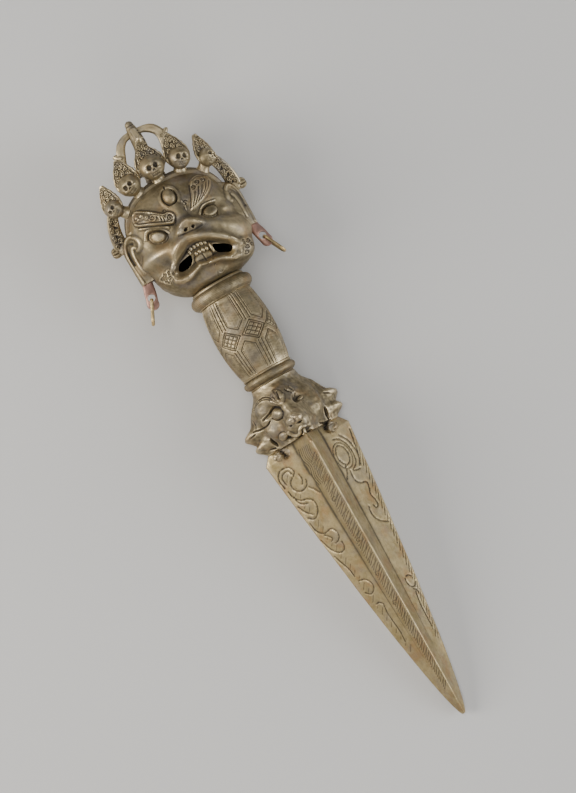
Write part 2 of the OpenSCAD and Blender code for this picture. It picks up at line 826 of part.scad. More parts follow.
module finial_stem() {
    rotate_extrude() polygon(concat(
        [[0, z_knot - stem_h + past], [stem_r, z_knot - stem_h + past], [stem_r, z_knot]],
        [[knot_r - 0.4, z_knot], [knot_r - 1.4, z_knot + 0.35 * hub_h], [knot_r - 0.6, z_knot + 0.6 * hub_h]],
        [[plate_r, z_plate], [plate_r + 0.4, z_plate + 0.5 * plate_t], [plate_r - 0.6, z_prong]],
        [[spike_r, z_prong + 0.3], [0.93 * spike_r, z_arch - prong_top], [spike_tip_r + 0.3, z_arch + 0.3]],
        [for (i = [0:8]) let (a = 11.25 * i)
            [spike_tip_r * cos(a), z_top - spike_tip_r + spike_tip_r * sin(a)]]
    ));
}

module prong() {
    inner_x = prong_reach - prong_side;
    end_x = prong_t / 2 + 0.1;
    foot = z_plate + 0.4;
    foot_lean = 1.5;
    arch = 2.6;
    spur = [[-1.6, -2.2], [0.5, -1.2], [1.3, 0.9], [0.2, 0.8], [-1.6, 0]];
    outer = [for (i = [0:12]) let (a = 7.5 * i)
        [end_x + (prong_reach - end_x) * pow(cos(a), 2 / arch), z_prong + prong_h * pow(sin(a), 2 / arch)]];
    inner = [for (i = [12:-1:0]) let (a = 7.5 * i)
        [end_x + (inner_x - end_x) * pow(cos(a), 2 / arch),
         z_prong + (prong_h - prong_top) * pow(sin(a), 2 / arch)]];
    upright(prong_t) {
        polygon(concat([[prong_reach - foot_lean, foot]], outer, inner, [[inner_x - foot_lean, foot]]));
        translate([
            end_x + (prong_reach - end_x) * pow(cos(spur_angle), 2 / arch),
            z_prong + prong_h * pow(sin(spur_angle), 2 / arch)
        ])
            polygon(spur);
    }
}

module vajra_finial() {
    color("#a3906a") lay() {
        finial_stem();
        for (k = [0:3]) rotate([0, 0, 90 * k]) prong();
    }
}

// Ear lobes and earrings

module in_lobe() {
    translate([lobe_x, -ear_front, z_lobe]) rotate([0, -lobe_flare, 0]) children();
}

module ear_lobe(side) {
    half = lobe_w / 2;
    color("#b98d77") lay() on_side(side) difference() {
        in_lobe() upright(lobe_t) polygon(concat(
            [[half - 0.2, 3], [0.6 - half, 3]],
            arc(0, half - lobe_len, half, 180, 360, 16)
        ));
        translate([hole_x, -ear_front, hole_z]) rotate([90, 0, 0])
            cylinder(r = lobe_hole_r, h = 2 * lobe_t, center = true);
        ear_plate();
    }
}

// The loop hangs on the wall of the hole: a straight bar, two bends, two legs and a round end
module earring(side) {
    bend_r = wire_r + wire_play;
    leg_y = lobe_t / 2 + bend_r;
    bar_x = lobe_hole_r - wire_r - bar_gap;
    leg_len = loop_len - wire_r - leg_y - bar_x - bend_r;
    color("#c9b37c") lay() on_side(side)
        translate([hole_x, -ear_front, hole_z]) rotate([0, 90 - loop_rest, 0]) {
            translate([bar_x, 0, 0]) rotate([90, 0, 0]) cylinder(r = wire_r, h = lobe_t, center = true);
            for (way = [0, 180]) {
                rotate([way, 0, 0]) {
                    translate([bar_x + bend_r, lobe_t / 2, 0])
                        rotate([0, 0, 90]) rotate_extrude(angle = 90) translate([bend_r, 0]) circle(wire_r);
                    translate([bar_x + bend_r, leg_y, 0]) rotate([0, 90, 0])
                        cylinder(r = wire_r, h = leg_len);
                }
            }
            translate([bar_x + bend_r + leg_len, 0, 0])
                rotate([0, 0, -90]) rotate_extrude(angle = 180) translate([leg_y, 0]) circle(wire_r);
        }
}

blade();
makara_socket();
lower_ring();
grip();
upper_collar();
tang_washer();
head_shell();
topknot_cap();
crown_band();
for (i = [1:5]) {
    skull_plaque(abs(i - 3), sign(i - 3));
}
side_leaf_on(-1);  // side_leaf_left
side_leaf_on(1);  // side_leaf_right
rosette_on(-1);  // rosette_left
rosette_on(1);  // rosette_right
vajra_finial();
ear_lobe(-1);  // ear_lobe_left
ear_lobe(1);  // ear_lobe_right
earring(-1);  // earring_left
earring(1);  // earring_right
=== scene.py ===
"""A three-vaned ritual dagger in aged brass, lying on its back: the looks over its CAD frame.

Every piece is carved upright in millimetres, with +Z from the blade's point to the crown and the face
to -Y, as in the part's source, and is then laid down on the floor in metres.
"""
import json
import math

import bpy
import numpy as np
from bpy.props import FloatProperty, FloatVectorProperty, PointerProperty
from bpy.types import Operator, Panel, PropertyGroup
from mathutils import Matrix, Vector


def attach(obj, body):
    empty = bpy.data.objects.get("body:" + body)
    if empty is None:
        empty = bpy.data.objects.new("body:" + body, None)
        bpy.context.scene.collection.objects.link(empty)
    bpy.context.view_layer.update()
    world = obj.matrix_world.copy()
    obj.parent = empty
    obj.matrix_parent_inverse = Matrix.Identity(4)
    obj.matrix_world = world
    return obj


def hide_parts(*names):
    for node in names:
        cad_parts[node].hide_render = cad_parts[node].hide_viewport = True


bl_info = {
    "name": "Three-vaned dagger",
    "version": (1, 0, 0),
    "blender": (4, 5, 0),
    "location": "View3D > Sidebar > Dagger",
    "description": "Carves the looks of a three-vaned ritual dagger over its CAD frame",
    "category": "Add Mesh",
}

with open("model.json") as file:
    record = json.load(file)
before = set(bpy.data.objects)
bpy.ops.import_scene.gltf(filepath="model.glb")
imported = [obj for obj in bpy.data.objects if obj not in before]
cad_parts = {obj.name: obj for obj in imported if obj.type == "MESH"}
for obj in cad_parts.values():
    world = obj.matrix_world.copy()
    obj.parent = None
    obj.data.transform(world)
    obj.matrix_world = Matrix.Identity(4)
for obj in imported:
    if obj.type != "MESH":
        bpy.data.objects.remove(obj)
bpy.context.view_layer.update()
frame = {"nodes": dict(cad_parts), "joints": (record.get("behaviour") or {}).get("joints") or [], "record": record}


def cos_sin(degrees):
    return math.cos(math.radians(degrees)), math.sin(math.radians(degrees))


def squared_reach(degrees, across, up):
    """Reach of a squared oval at an angle from its upper half axis"""
    c, s = cos_sin(degrees)
    return 1 / ((abs(s) / across) ** 2.5 + (c / up) ** 2.5) ** 0.4


# Heights and radii of the part's source, in mm
Z_SHOULDER, Z_NECK, Z_RING, Z_GRIP, Z_COLLAR, Z_HEAD = 137, 141, 168.5, 174.5, 211, 218.5
Z_MID, Z_FLAT, Z_KNOT, Z_PLATE, Z_PRONG, Z_TOP = 247, 271.2, 275, 277.4, 279.4, 301.5
Z_WASHER, Z_PEEN, Z_LOBE = 224.5, 226.5, 233.5
NECK_VANE, NECK_VALLEY, SOCKET_TOP_R = 20.8, 7.2, 10.9
SOCKET_H, GRIP_H = Z_RING - Z_NECK, Z_COLLAR - Z_GRIP
HEAD_W, FACE_DEPTH, BACK_DEPTH, HEAD_UP, HEAD_DOWN = 24.6, 20.5, 20.7, 25.1, 28.5
# Share of its lower half axis at which the jaw's oval is cut off flat
JAW_CUT = 0.963
# Distance from the axis to the worn flat on the back of the head
BACK_FLAT = 20.1
EAR_REACH, EAR_UP, EAR_T, EAR_FRONT, EAR_INNER = 29.65, 9.5, 5.4, 1.5, 20.0
BORE, HOLLOW, TANG_R = 4.65, 13.5, 4.5
CROWN_LEAN = 27
BAND_RISE = squared_reach(CROWN_LEAN, FACE_DEPTH, HEAD_UP)
BAND_W, BAND_IN, BAND_OUT = 4.5, -1.6, 0.9
# The plaques from the middle outwards: radius and reach of the skull, angle, turn and height of the leaf
SKULL_R, SKULL_REACH = (5.6, 5, 4.3), (33, 33.2, 34.2)
SKULL_ANGLE, PLAQUE_TURN, LEAF_H = (0, 22.5, 44.2), (0, 16, 48), (13, 12.4, 11.2)
# The earrings' wire, the lobes' holes, the length of a loop and its turn below the level line at rest
WIRE_R, HOLE_R, RING_LENGTH, REST_SWING = 0.75, 1.7, 12.5, 64
SIDES = ((-1, "left"), (1, "right"))

# How the upright dagger is laid down: the tilt is read off a joint's axis and the place off a mount
AXIS = next(j for j in frame["joints"] if j["name"] == "earring_right_swing")["axis"]
TILT_SIN, TILT_COS = -AXIS[1], AXIS[2]
REST = next(m for m in frame["record"]["mounts"] if m["name"] == "back_rest")["pos_m"]
LAY_Y = REST[1] * 1000 - BACK_FLAT * TILT_SIN - Z_MID * TILT_COS
LAY_Z = REST[2] * 1000 + BACK_FLAT * TILT_COS - Z_MID * TILT_SIN
LAY = Matrix((
    (1, 0, 0, 0),
    (0, TILT_SIN, TILT_COS, LAY_Y),
    (0, -TILT_COS, TILT_SIN, LAY_Z),
    (0, 0, 0, 1000),
)) * 0.001

# The camera, in the upright frame: it looks along a line a little from the right and from above
LOOK_AT = np.array([2.434, 0, 159.47])
LOOK_AZ, LOOK_EL, LOOK_ROLL, LOOK_FAR = math.radians(3.532), math.radians(2.313), -29.939, 975.48
TOWARDS = np.array([-math.sin(LOOK_AZ) * math.cos(LOOK_EL), -math.cos(LOOK_AZ) * math.cos(LOOK_EL),
                    -math.sin(LOOK_EL)])
EYE = LOOK_AT + TOWARDS * LOOK_FAR
RIGHT = np.cross([0, 0, 1.0], TOWARDS)
RIGHT /= np.linalg.norm(RIGHT)
UP = np.cross(TOWARDS, RIGHT)
# The front view is laid out on a sheet in mm, whose origin is the point of the blade
SHEET, SHEET_U, SHEET_V, SHEET_TURN = 974.64, 0.78, 159.87, -0.00571


class DaggerSizes(PropertyGroup):
    carving: FloatProperty(name="Carving", default=1.0, min=0, max=1.5, subtype="FACTOR",
                           description="Depth of the engraved lines, as a share of what is drawn")
    wire_r: FloatProperty(name="Wire radius", default=WIRE_R, min=0.5, max=0.9,
                          description="Radius of the earrings' wire, in mm")
    dents: FloatProperty(name="Dents", default=0.07, min=0, max=0.3,
                         description="Depth of the casting's shallow dents, in mm")
    lens: FloatProperty(name="Lens", default=100, min=50, max=200, subtype="DISTANCE_CAMERA",
                        description="Focal length of the camera")
    floor_size: FloatProperty(name="Floor", default=1.9, min=1, max=20, unit="LENGTH",
                              description="Width of the floor")


def colour(name, value, description):
    return FloatVectorProperty(name=name, default=value, min=0, max=1, size=3, subtype="COLOR",
                               description=description)


class DaggerFinish(PropertyGroup):
    worn: colour("Worn brass", (0.49, 0.40, 0.242), "Brass where hands have rubbed it")
    patina: colour("Patina", (0.168, 0.134, 0.075), "Brass that was left alone")
    # The colour of the grime in fine cuts and of the painted shade laid into broad hollows
    shade_and_grime: colour("Recesses", (0.026, 0.02, 0.015), "Dirt and dark oxide in the cuts")
    warm: colour("Warm patches", (0.34, 0.20, 0.085), "Orange-brown oxide")
    cool: colour("Cool patches", (0.215, 0.20, 0.19), "Blue-grey oxide")
    copper: colour("Copper", (0.45, 0.27, 0.21), "The lobes' copper")
    wire: colour("Wire", (0.62, 0.46, 0.22), "The earrings' brass wire")
    ground: colour("Floor", (0.62, 0.61, 0.59), "The pale floor")


# Shapes

def smooth(t):
    """Rises from 0 to 1 without a corner while its value does"""
    t = np.clip(t, 0, 1)
    return t * t * (3 - 2 * t)


def signed_pow(v, power):
    return np.sign(v) * np.abs(v) ** power


def around(count):
    """Angles once round, in radians"""
    return np.linspace(0, 2 * math.pi, count, endpoint=False)


def elliptic(x, z, centre, size, turn=0):
    """Squared distance from a centre, in half axes of a turned ellipse"""
    c, s = cos_sin(turn)
    dx, dz = x - centre[0], z - centre[1]
    return ((dx * c + dz * s) / size[0]) ** 2 + ((dz * c - dx * s) / size[1]) ** 2


def curve(points, steps=8, closed=False):
    """A smooth line through points"""
    p = np.array(points, float)
    p = np.vstack([p[-1:], p, p[:2]]) if closed else np.vstack([2 * p[0] - p[1], p, 2 * p[-1] - p[-2]])
    t = np.linspace(0, 1, steps, endpoint=False)[:, None]
    parts = [0.5 * (2 * b + (c - a) * t + (2 * a - 5 * b + 4 * c - d) * t * t
                    + (3 * b - a - 3 * c + d) * t ** 3)
             for a, b, c, d in zip(p[:-3], p[1:-2], p[2:-1], p[3:])]
    return np.vstack(parts + [p[-2:-1]])


def seen(points):
    """Where upright points show on the sheet of the front view"""
    away = points - EYE
    depth = -(away @ TOWARDS)
    across, up = (away @ RIGHT) / depth, (away @ UP) / depth
    return (SHEET_U + SHEET * (across + SHEET_TURN * up), SHEET_V + SHEET * (up - SHEET_TURN * across))


def behind(u, v, depth):
    """The upright point at a depth in front of the axis that shows at a place on the sheet"""
    across, up = (u - SHEET_U) / SHEET, (v - SHEET_V) / SHEET
    ray = -TOWARDS + (across - SHEET_TURN * up) * RIGHT + (up + SHEET_TURN * across) * UP
    return EYE + ray * ((-depth - EYE[1]) / ray[1])


def above_floor(grid, room=0.0):
    """Flattens what would reach under the floor that the dagger lies on"""
    level = grid[..., 1] * -TILT_COS + grid[..., 2] * TILT_SIN + LAY_Z
    grid[..., 1] -= np.where(grid[..., 1] > 0, np.maximum(0, room - level) / TILT_COS, 0)
    return grid


class Relief:
    """Heights over a surface, drawn on the sheet: forms add up, beads and cuts don't double"""

    def __init__(self, u, v):
        self.shape = u.shape
        self.u, self.v = u.ravel(), v.ravel()
        self.form, self.bead, self.groove = (np.zeros(self.u.size) for _ in range(3))

    def near(self, line, reach):
        """Numbers of the points that can lie within reach of a line"""
        low, high = line.min(0) - reach, line.max(0) + reach
        return np.flatnonzero((self.u > low[0]) & (self.u < high[0]) & (self.v > low[1]) & (self.v < high[1]))

    def off(self, i, line):
        """Distance of some points from a line"""
        p = np.stack([self.u[i], self.v[i]], 1)
        best = np.full(len(i), 1e9)
        for a, b in zip(line[:-1], line[1:]):
            ab = b - a
            t = np.clip(((p - a) @ ab) / max(ab @ ab, 1e-9), 0, 1)[:, None]
            best = np.minimum(best, ((p - a - t * ab) ** 2).sum(1))
        return np.sqrt(best)

    def dome(self, centre, size, height, turn=0, soft=False):
        """An oval knob or hollow"""
        i = self.near(np.array([centre], float), max(size))
        left = np.maximum(0, 1 - elliptic(self.u[i], self.v[i], centre, size, turn))
        self.form[i] += height * (left ** 2 if soft else np.sqrt(left))

    def line(self, points, width, height, straight=False):
        """A bead, or a cut where the height is below 0"""
        line = np.array(points, float) if straight else curve(points, 6)
        i = self.near(line, width)
        shape = height * np.maximum(0, 1 - (self.off(i, line) / (0.75 * width)) ** 2) ** 1.5
        layer = self.bead if height > 0 else self.groove
        pick = np.maximum if height > 0 else np.minimum
        layer[i] = pick(layer[i], shape)

    def ridge(self, points, width, height):
        """A soft fold along a line"""
        line = curve(points, 6)
        i = self.near(line, 1.6 * width)
        self.form[i] += height * np.exp(-(self.off(i, line) / (0.62 * width)) ** 2)

    def patch(self, points, height, edge=0.6):
        """A raised or sunk area inside an outline"""
        line = curve(points, 5, True)
        i = self.near(line, edge)
        x, z = self.u[i], self.v[i]
        inside = np.zeros(len(i), bool)
        for a, b in zip(line[:-1], line[1:]):
            if a[1] != b[1]:
                crossing = (b[0] - a[0]) * (z - a[1]) / (b[1] - a[1]) + a[0]
                inside ^= ((a[1] > z) != (b[1] > z)) & (x < crossing)
        gap = self.off(i, line) * np.where(inside, 1, -1)
        self.form[i] += height * smooth(0.5 + gap / (2 * edge))

    def curl(self, centre, radius, turns, start, width, height, way=1):
        """A spiral that starts at its rim"""
        t = np.linspace(0, 1, max(8, int(16 * turns)))
        a = math.radians(start) + way * 2 * math.pi * turns * t
        r = radius * (1 - 0.86 * t)
        self.line(np.stack([centre[0] + r * np.cos(a), centre[1] + r * np.sin(a)], 1), width, height, True)

    def ring(self, centre, size, width, height):
        a = np.radians(np.arange(0, 361, 12))
        self.line(np.stack([size[0] * np.cos(a), size[1] * np.sin(a)], 1) + centre, width, height, True)

    def draw(self, forms):
        """Draws a list of forms, each with the name of its kind first"""
        for kind, *values in forms:
            getattr(self, kind)(*values)

    def height(self, carving):
        return (self.form + self.bead + carving * self.groove).reshape(self.shape)


def lump(points, scale, seed):
    """Smooth unevenness in space, from -1 to 1, out of a few crossed waves"""
    rng = np.random.default_rng(seed)
    total = np.zeros(points.shape[:-1])
    for _ in range(7):
        way = rng.normal(size=3)
        way *= rng.uniform(0.6, 1.6) / np.linalg.norm(way)
        total += np.sin(points @ way * (2 * math.pi / scale) + rng.uniform(0, 6.28))
    return total / 4


def normals_of(grid):
    n = np.cross(np.roll(grid, -1, 1) - np.roll(grid, 1, 1), np.gradient(grid, axis=0))
    return n / np.maximum(np.linalg.norm(n, axis=-1, keepdims=True), 1e-9)


def dented(grid, depth, scale, seed):
    return grid + normals_of(grid) * (depth * lump(grid, scale, seed))[..., None]


def mirrored(grid, side):
    """A grid that was made for the right side, or its mirror image for the left one"""
    return grid if side > 0 else grid[:, ::-1] * (-1, 1, 1)


def resampled(points, step, closed=False):
    """The same outline with points no more than about a step apart"""
    p = np.array(points, float)
    pairs = zip(p, np.roll(p, -1, 0)) if closed else zip(p[:-1], p[1:])
    fine = [np.linspace(a, b, max(2, int(np.hypot(*(b - a)) / step)), endpoint=False) for a, b in pairs]
    return np.vstack(fine if closed else fine + [p[-1:]])


def tube(grid, ends=True):
    """Points and faces of rings from low to high, each anticlockwise from above.

    The ends are closed by fans, or the last ring is joined to the first.
    """
    rows, cols = grid.shape[:2]
    i, j = np.meshgrid(np.arange(rows - 1 if ends else rows), np.arange(cols), indexing="ij")
    k, up = (j + 1) % cols, (i + 1) % rows
    quads = np.stack([i * cols + j, i * cols + k, up * cols + k, up * cols + j], -1).reshape(-1, 4)
    points = grid.reshape(-1, 3)
    if not ends:
        return points, quads, np.zeros((0, 3), int)
    j = np.arange(cols)
    k = (j + 1) % cols
    low, high = np.full(cols, len(points)), np.full(cols, len(points) + 1)
    top = (rows - 1) * cols
    tris = np.vstack([np.stack([low, k, j], 1), np.stack([high, top + j, top + k], 1)])
    return np.vstack([points, grid[0].mean(0), grid[-1].mean(0)]), quads, tris


def placed(name, data):
    """A new object in the scene"""
    obj = bpy.data.objects.new(name, data)
    bpy.context.scene.collection.objects.link(obj)
    return obj


def solid(name, points, quads, tris):
    """An object out of points, four-sided and three-sided faces"""
    mesh = bpy.data.meshes.new(name)
    mesh.vertices.add(len(points))
    mesh.vertices.foreach_set("co", np.ascontiguousarray(points, np.float32).ravel())
    loops = np.concatenate([quads.ravel(), tris.ravel()]).astype(np.int32)
    starts = np.concatenate([np.arange(len(quads)) * 4, 4 * len(quads) + np.arange(len(tris)) * 3])
    mesh.loops.add(len(loops))
    mesh.loops.foreach_set("vertex_index", loops)
    mesh.polygons.add(len(starts))
    mesh.polygons.foreach_set("loop_start", starts.astype(np.int32))
    mesh.update(calc_edges=True)
    mesh.validate()
    return placed(name, mesh)


def turned(profile, sides):
    """A grid of rings from a profile of radius and height, low to high"""
    a = around(sides)
    p = np.array(profile, float)
    return np.stack([p[:, :1] * np.sin(a), -p[:, :1] * np.cos(a), np.repeat(p[:, 1:], sides, 1)], -1)


def finished(obj):
    """The object with its modifiers made part of its mesh"""
    graph = bpy.context.evaluated_depsgraph_get()
    mesh = bpy.data.meshes.new_from_object(obj.evaluated_get(graph))
    obj.modifiers.clear()
    old, obj.data = obj.data, mesh
    bpy.data.meshes.remove(old)
    return obj


def combine(obj, tools, operation):
    """Cuts the tools out of a solid or unites them with it, and uses them up"""
    for tool in tools:
        step = obj.modifiers.new(operation, "BOOLEAN")
        step.solver, step.operation, step.object = "MANIFOLD", operation, tool
    finished(obj)
    for tool in tools:
        bpy.data.objects.remove(tool)
    return obj


def volume(mesh):
    """Six times the volume, below 0 where the faces point inwards"""
    mesh.calc_loop_triangles()
    co = np.array([v.co for v in mesh.vertices])
    tri = np.array([t.vertices for t in mesh.loop_triangles])
    a, b, c = co[tri[:, 0]], co[tri[:, 1]], co[tri[:, 2]]
    return np.einsum("ij,ij->i", a, np.cross(b, c)).sum()


def turned_out(obj):
    """The object with its faces pointing outwards"""
    if volume(obj.data) < 0:
        obj.data.flip_normals()
    return obj


def read_rows(items, key, width, kind):
    values = np.empty(len(items) * width, kind)
    items.foreach_get(key, values)
    return values.reshape(-1, width)


# Steps of smoothing against which a vertex stands out, and the height in mm that counts as fully worn
FINE_STEPS, BROAD_STEPS = 3, 26
FINE_RISE, BROAD_RISE = 0.05, 0.3
# Shares of wear that fine and broad forms give, of grime that fine cuts give and of painted shade that broad
# hollows give
FINE_WEAR, BROAD_WEAR = 0.45, 0.5
FINE_DIRT, BROAD_SHADE = 0.85, 0.3
# Faces that meet at more than this angle, in degrees, keep a sharp edge
SHARP_FROM = 50


def weather_and_shade(mesh, soft=1.0, edge=1.0, deep=1.0, dull=0.0, calm=None):
    """Keeps on each vertex how worn it is, because it stands out, and how deep it lies in a hollow, which darkens
    it with grime in fine cuts and with painted shade in broad hollows.

    A larger soft makes fine relief count less. Edge and deep scale the wear of fine edges and the painted
    shade of broad hollows, dull darkens the whole piece, and calm gives the share by which points are left alone.
    """
    count = len(mesh.vertices)
    co = read_rows(mesh.vertices, "co", 3, np.float32).astype(float)
    normal = read_rows(mesh.vertex_normals, "vector", 3, np.float32)
    a, b = read_rows(mesh.edges, "vertices", 2, np.int32).T
    links = np.maximum(np.bincount(a, minlength=count) + np.bincount(b, minlength=count), 1)
    flat, heights = co, []
    for step in range(1, BROAD_STEPS + 1):
        flat = np.stack([
            (np.bincount(a, flat[b, k], count) + np.bincount(b, flat[a, k], count)) / links for k in range(3)
        ], 1)
        if step in (FINE_STEPS, BROAD_STEPS):
            height = ((co - flat) * normal).sum(1)
            heights.append(height - np.median(height))
    near, far = heights[0] / (FINE_RISE * soft), heights[1] / BROAD_RISE
    worn = np.clip(near, 0, 1) * FINE_WEAR * edge + np.clip(far, 0, 1) * BROAD_WEAR
    # Fine cuts hold grime, and broad hollows are darkened as painted shade
    shade_and_grime = np.clip(-near - 0.08, 0, 1) * FINE_DIRT + np.clip(-far - 0.1, 0, 1) * BROAD_SHADE * deep
    if calm:
        worn, shade_and_grime = worn * (1 - calm(co)), shade_and_grime * (1 - calm(co))
    for name, values in (("worn", worn), ("shade_and_grime", shade_and_grime + dull)):
        layer = mesh.attributes.new(name, "FLOAT", "POINT")
        layer.data.foreach_set("value", np.clip(values, 0, 1).astype(np.float32))


def paint(mesh, slot):
    mesh.materials.clear()
    mesh.materials.append(finish(slot))


def settle(obj, name, replaced, slot, body="dagger", **wear):
    """Weathers a piece, paints shade into its broad hollows, lays it down in metres and hands it to the frame"""
    mesh = obj.data
    weather_and_shade(mesh, **wear)
    mesh.transform(LAY)
    paint(mesh, slot)
    mesh.shade_smooth()
    mesh.set_sharp_from_angle(angle=math.radians(SHARP_FROM))
    obj.name = mesh.name = name
    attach(obj, body)
    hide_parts(replaced)


# Geometry Nodes

def node(tree, kind, values=(), **settings):
    """Adds a node. Values are (socket name or number, a value or a socket that feeds it)"""
    made = tree.nodes.new(kind)
    for key, value in settings.items():
        setattr(made, key, value)
    for key, value in values:
        if isinstance(value, bpy.types.NodeSocket):
            tree.links.new(value, made.inputs[key])
        else:
            made.inputs[key].default_value = value
    return made


def new_tree(name, inputs):
    """A tree of Geometry Nodes that takes a shape and the inputs that are named here"""
    tree = bpy.data.node_groups.new(name, "GeometryNodeTree")
    tree.interface.new_socket("Geometry", in_out="INPUT", socket_type="NodeSocketGeometry")
    for label, kind, default in inputs:
        socket = tree.interface.new_socket(label, in_out="INPUT", socket_type=kind)
        if default is not None:
            socket.default_value = default
    tree.interface.new_socket("Geometry", in_out="OUTPUT", socket_type="NodeSocketGeometry")
    return tree, tree.nodes.new("NodeGroupInput")


def close_tree(tree, source, geometry):
    real = node(tree, "GeometryNodeRealizeInstances", [(0, geometry)])
    painted = node(tree, "GeometryNodeSetMaterial", [
        ("Geometry", real.outputs[0]), ("Material", source.outputs["Material"])])
    node(tree, "NodeGroupOutput", [(0, painted.outputs[0])])
    return tree


WIRE_TREE, ROUND_TREE = "Wire along a path", "Copies round the axis"


def wire_tree():
    """A round wire along a path of edges"""
    tree, source = new_tree(WIRE_TREE, [
        ("Radius", "NodeSocketFloat", WIRE_R), ("Sides", "NodeSocketInt", 24),
        ("Material", "NodeSocketMaterial", None)])
    path = node(tree, "GeometryNodeMeshToCurve", [("Mesh", source.outputs["Geometry"])])
    ring = node(tree, "GeometryNodeCurvePrimitiveCircle", [
        ("Resolution", source.outputs["Sides"]), ("Radius", source.outputs["Radius"])])
    skin = node(tree, "GeometryNodeCurveToMesh", [
        ("Curve", path.outputs[0]), ("Profile Curve", ring.outputs[0]), ("Fill Caps", True)])
    return close_tree(tree, source, skin.outputs[0])


def round_tree():
    """Copies of a shape round the upright axis"""
    tree, source = new_tree(ROUND_TREE, [
        ("Count", "NodeSocketInt", 4), ("Material", "NodeSocketMaterial", None)])
    points = node(tree, "GeometryNodeMeshLine", [("Count", source.outputs["Count"]), ("Offset", (0, 0, 0))])
    index = node(tree, "GeometryNodeInputIndex")
    share = node(tree, "ShaderNodeMath", [
        (0, index.outputs[0]), (1, source.outputs["Count"])], operation="DIVIDE")
    turn = node(tree, "ShaderNodeMath", [(0, share.outputs[0]), (1, 2 * math.pi)], operation="MULTIPLY")
    spin = node(tree, "ShaderNodeCombineXYZ", [("Z", turn.outputs[0])])
    copies = node(tree, "GeometryNodeInstanceOnPoints", [
        ("Points", points.outputs[0]), ("Instance", source.outputs["Geometry"]),
        ("Rotation", spin.outputs[0])])
    return close_tree(tree, source, copies.outputs[0])


def grown(obj, tree, slot, **values):
    """The object after a tree of Geometry Nodes, as a plain mesh"""
    grow = obj.modifiers.new(tree.name, "NODES")
    grow.node_group = tree
    values["Material"] = finish(slot)
    for item in tree.interface.items_tree:
        if item.in_out == "INPUT" and item.name in values:
            grow[item.identifier] = values[item.name]
    return finished(obj)


# Materials

def patina_group():
    """Aged brass: worn where it stands out, darkened by grime in its fine cuts and by painted shade in its broad
    hollows, with warm and cool patches
    """
    group = bpy.data.node_groups.new("Aged brass", "ShaderNodeTree")
    for label in ("Worn", "Patina", "Recess", "Warm", "Cool"):
        group.interface.new_socket(label, in_out="INPUT", socket_type="NodeSocketColor")
    for label, value in (("Rub", 0.5), ("Warmth", 0.5), ("Coolness", 0.5), ("Grime and shade", 1.0)):
        group.interface.new_socket(label, in_out="INPUT", socket_type="NodeSocketFloat").default_value = value
    for label, kind in (("Color", "NodeSocketColor"), ("Roughness", "NodeSocketFloat"),
                        ("Metallic", "NodeSocketFloat"), ("Height", "NodeSocketFloat")):
        group.interface.new_socket(label, in_out="OUTPUT", socket_type=kind)
    given = group.nodes.new("NodeGroupInput").outputs
    place = node(group, "ShaderNodeTexCoord").outputs["Object"]

    def noise(scale, detail=4, rough=0.55):
        return node(group, "ShaderNodeTexNoise", [
            ("Vector", place), ("Scale", scale), ("Detail", detail), ("Roughness", rough)]).outputs[0]

    def span(value, low, high, to_low=0.0, to_high=1.0):
        return node(group, "ShaderNodeMapRange", [
            ("Value", value), ("From Min", low), ("From Max", high), ("To Min", to_low), ("To Max", to_high)
        ]).outputs[0]

    def math_node(operation, a, b, clamp=False):
        made = node(group, "ShaderNodeMath", [(0, a), (1, b)], operation=operation, use_clamp=clamp)
        return made.outputs[0]

    def mix(share, a, b):
        return node(group, "ShaderNodeMix", [(0, share), (6, a), (7, b)], data_type="RGBA").outputs[2]

    worn_by = node(group, "ShaderNodeAttribute", attribute_name="worn").outputs["Fac"]
    shade_and_grime_by = node(group, "ShaderNodeAttribute", attribute_name="shade_and_grime").outputs["Fac"]
    broad, middle, grain = noise(85), noise(420, 5, 0.6), noise(2600, 3, 0.7)
    pits = node(group, "ShaderNodeTexVoronoi", [("Vector", place), ("Scale", 1500.0)]).outputs["Distance"]
    pitted = math_node("MULTIPLY", span(pits, 0.28, 0.05), span(noise(300), 0.5, 0.62))

    # The rub follows the edges, and comes and goes in small and in broad patches
    rubbed = math_node("MULTIPLY", given["Rub"], span(broad, 0.38, 0.62, 0.25, 0.95))
    patchy = math_node("MULTIPLY", span(middle, 0.36, 0.64, -0.45, 0.35), given["Rub"])
    rub = math_node("ADD", math_node("ADD", worn_by, patchy), rubbed, True)
    tone = mix(rub, given["Patina"], given["Worn"])
    warm = math_node("MULTIPLY", span(noise(120, 5, 0.62), 0.5, 0.64), given["Warmth"])
    tone = mix(warm, tone, given["Warm"])
    cool = math_node("MULTIPLY", span(noise(150, 5, 0.6), 0.49, 0.66), given["Coolness"])
    tone = mix(cool, tone, given["Cool"])
    # Grime in fine cuts, painted shade in broad hollows, specks of grime and pits darken the colour
    deep = math_node("MULTIPLY", math_node("ADD", shade_and_grime_by, span(grain, 0.62, 0.8, 0, 0.2)), given["Grime and shade"])
    deep = math_node("ADD", deep, math_node("MULTIPLY", pitted, 0.5), True)
    tone = mix(deep, tone, given["Recess"])
    # Worn brass shines most, and the grime and painted shade of the hollows least
    rough = math_node("ADD", span(rub, 0, 1, 0.6, 0.4), math_node("MULTIPLY", deep, 0.25))
    rough = math_node("ADD", rough, span(grain, 0.3, 0.7, -0.06, 0.08), True)
    metal = math_node("SUBTRACT", 0.95, math_node("MULTIPLY", deep, 0.5), True)
    height = math_node("ADD", math_node("MULTIPLY", grain, 0.35), math_node("MULTIPLY", middle, 0.5))
    height = math_node("SUBTRACT", height, math_node("MULTIPLY", pitted, 0.8))
    node(group, "NodeGroupOutput", [
        ("Color", tone), ("Roughness", rough), ("Metallic", metal), ("Height", height)])
    return group
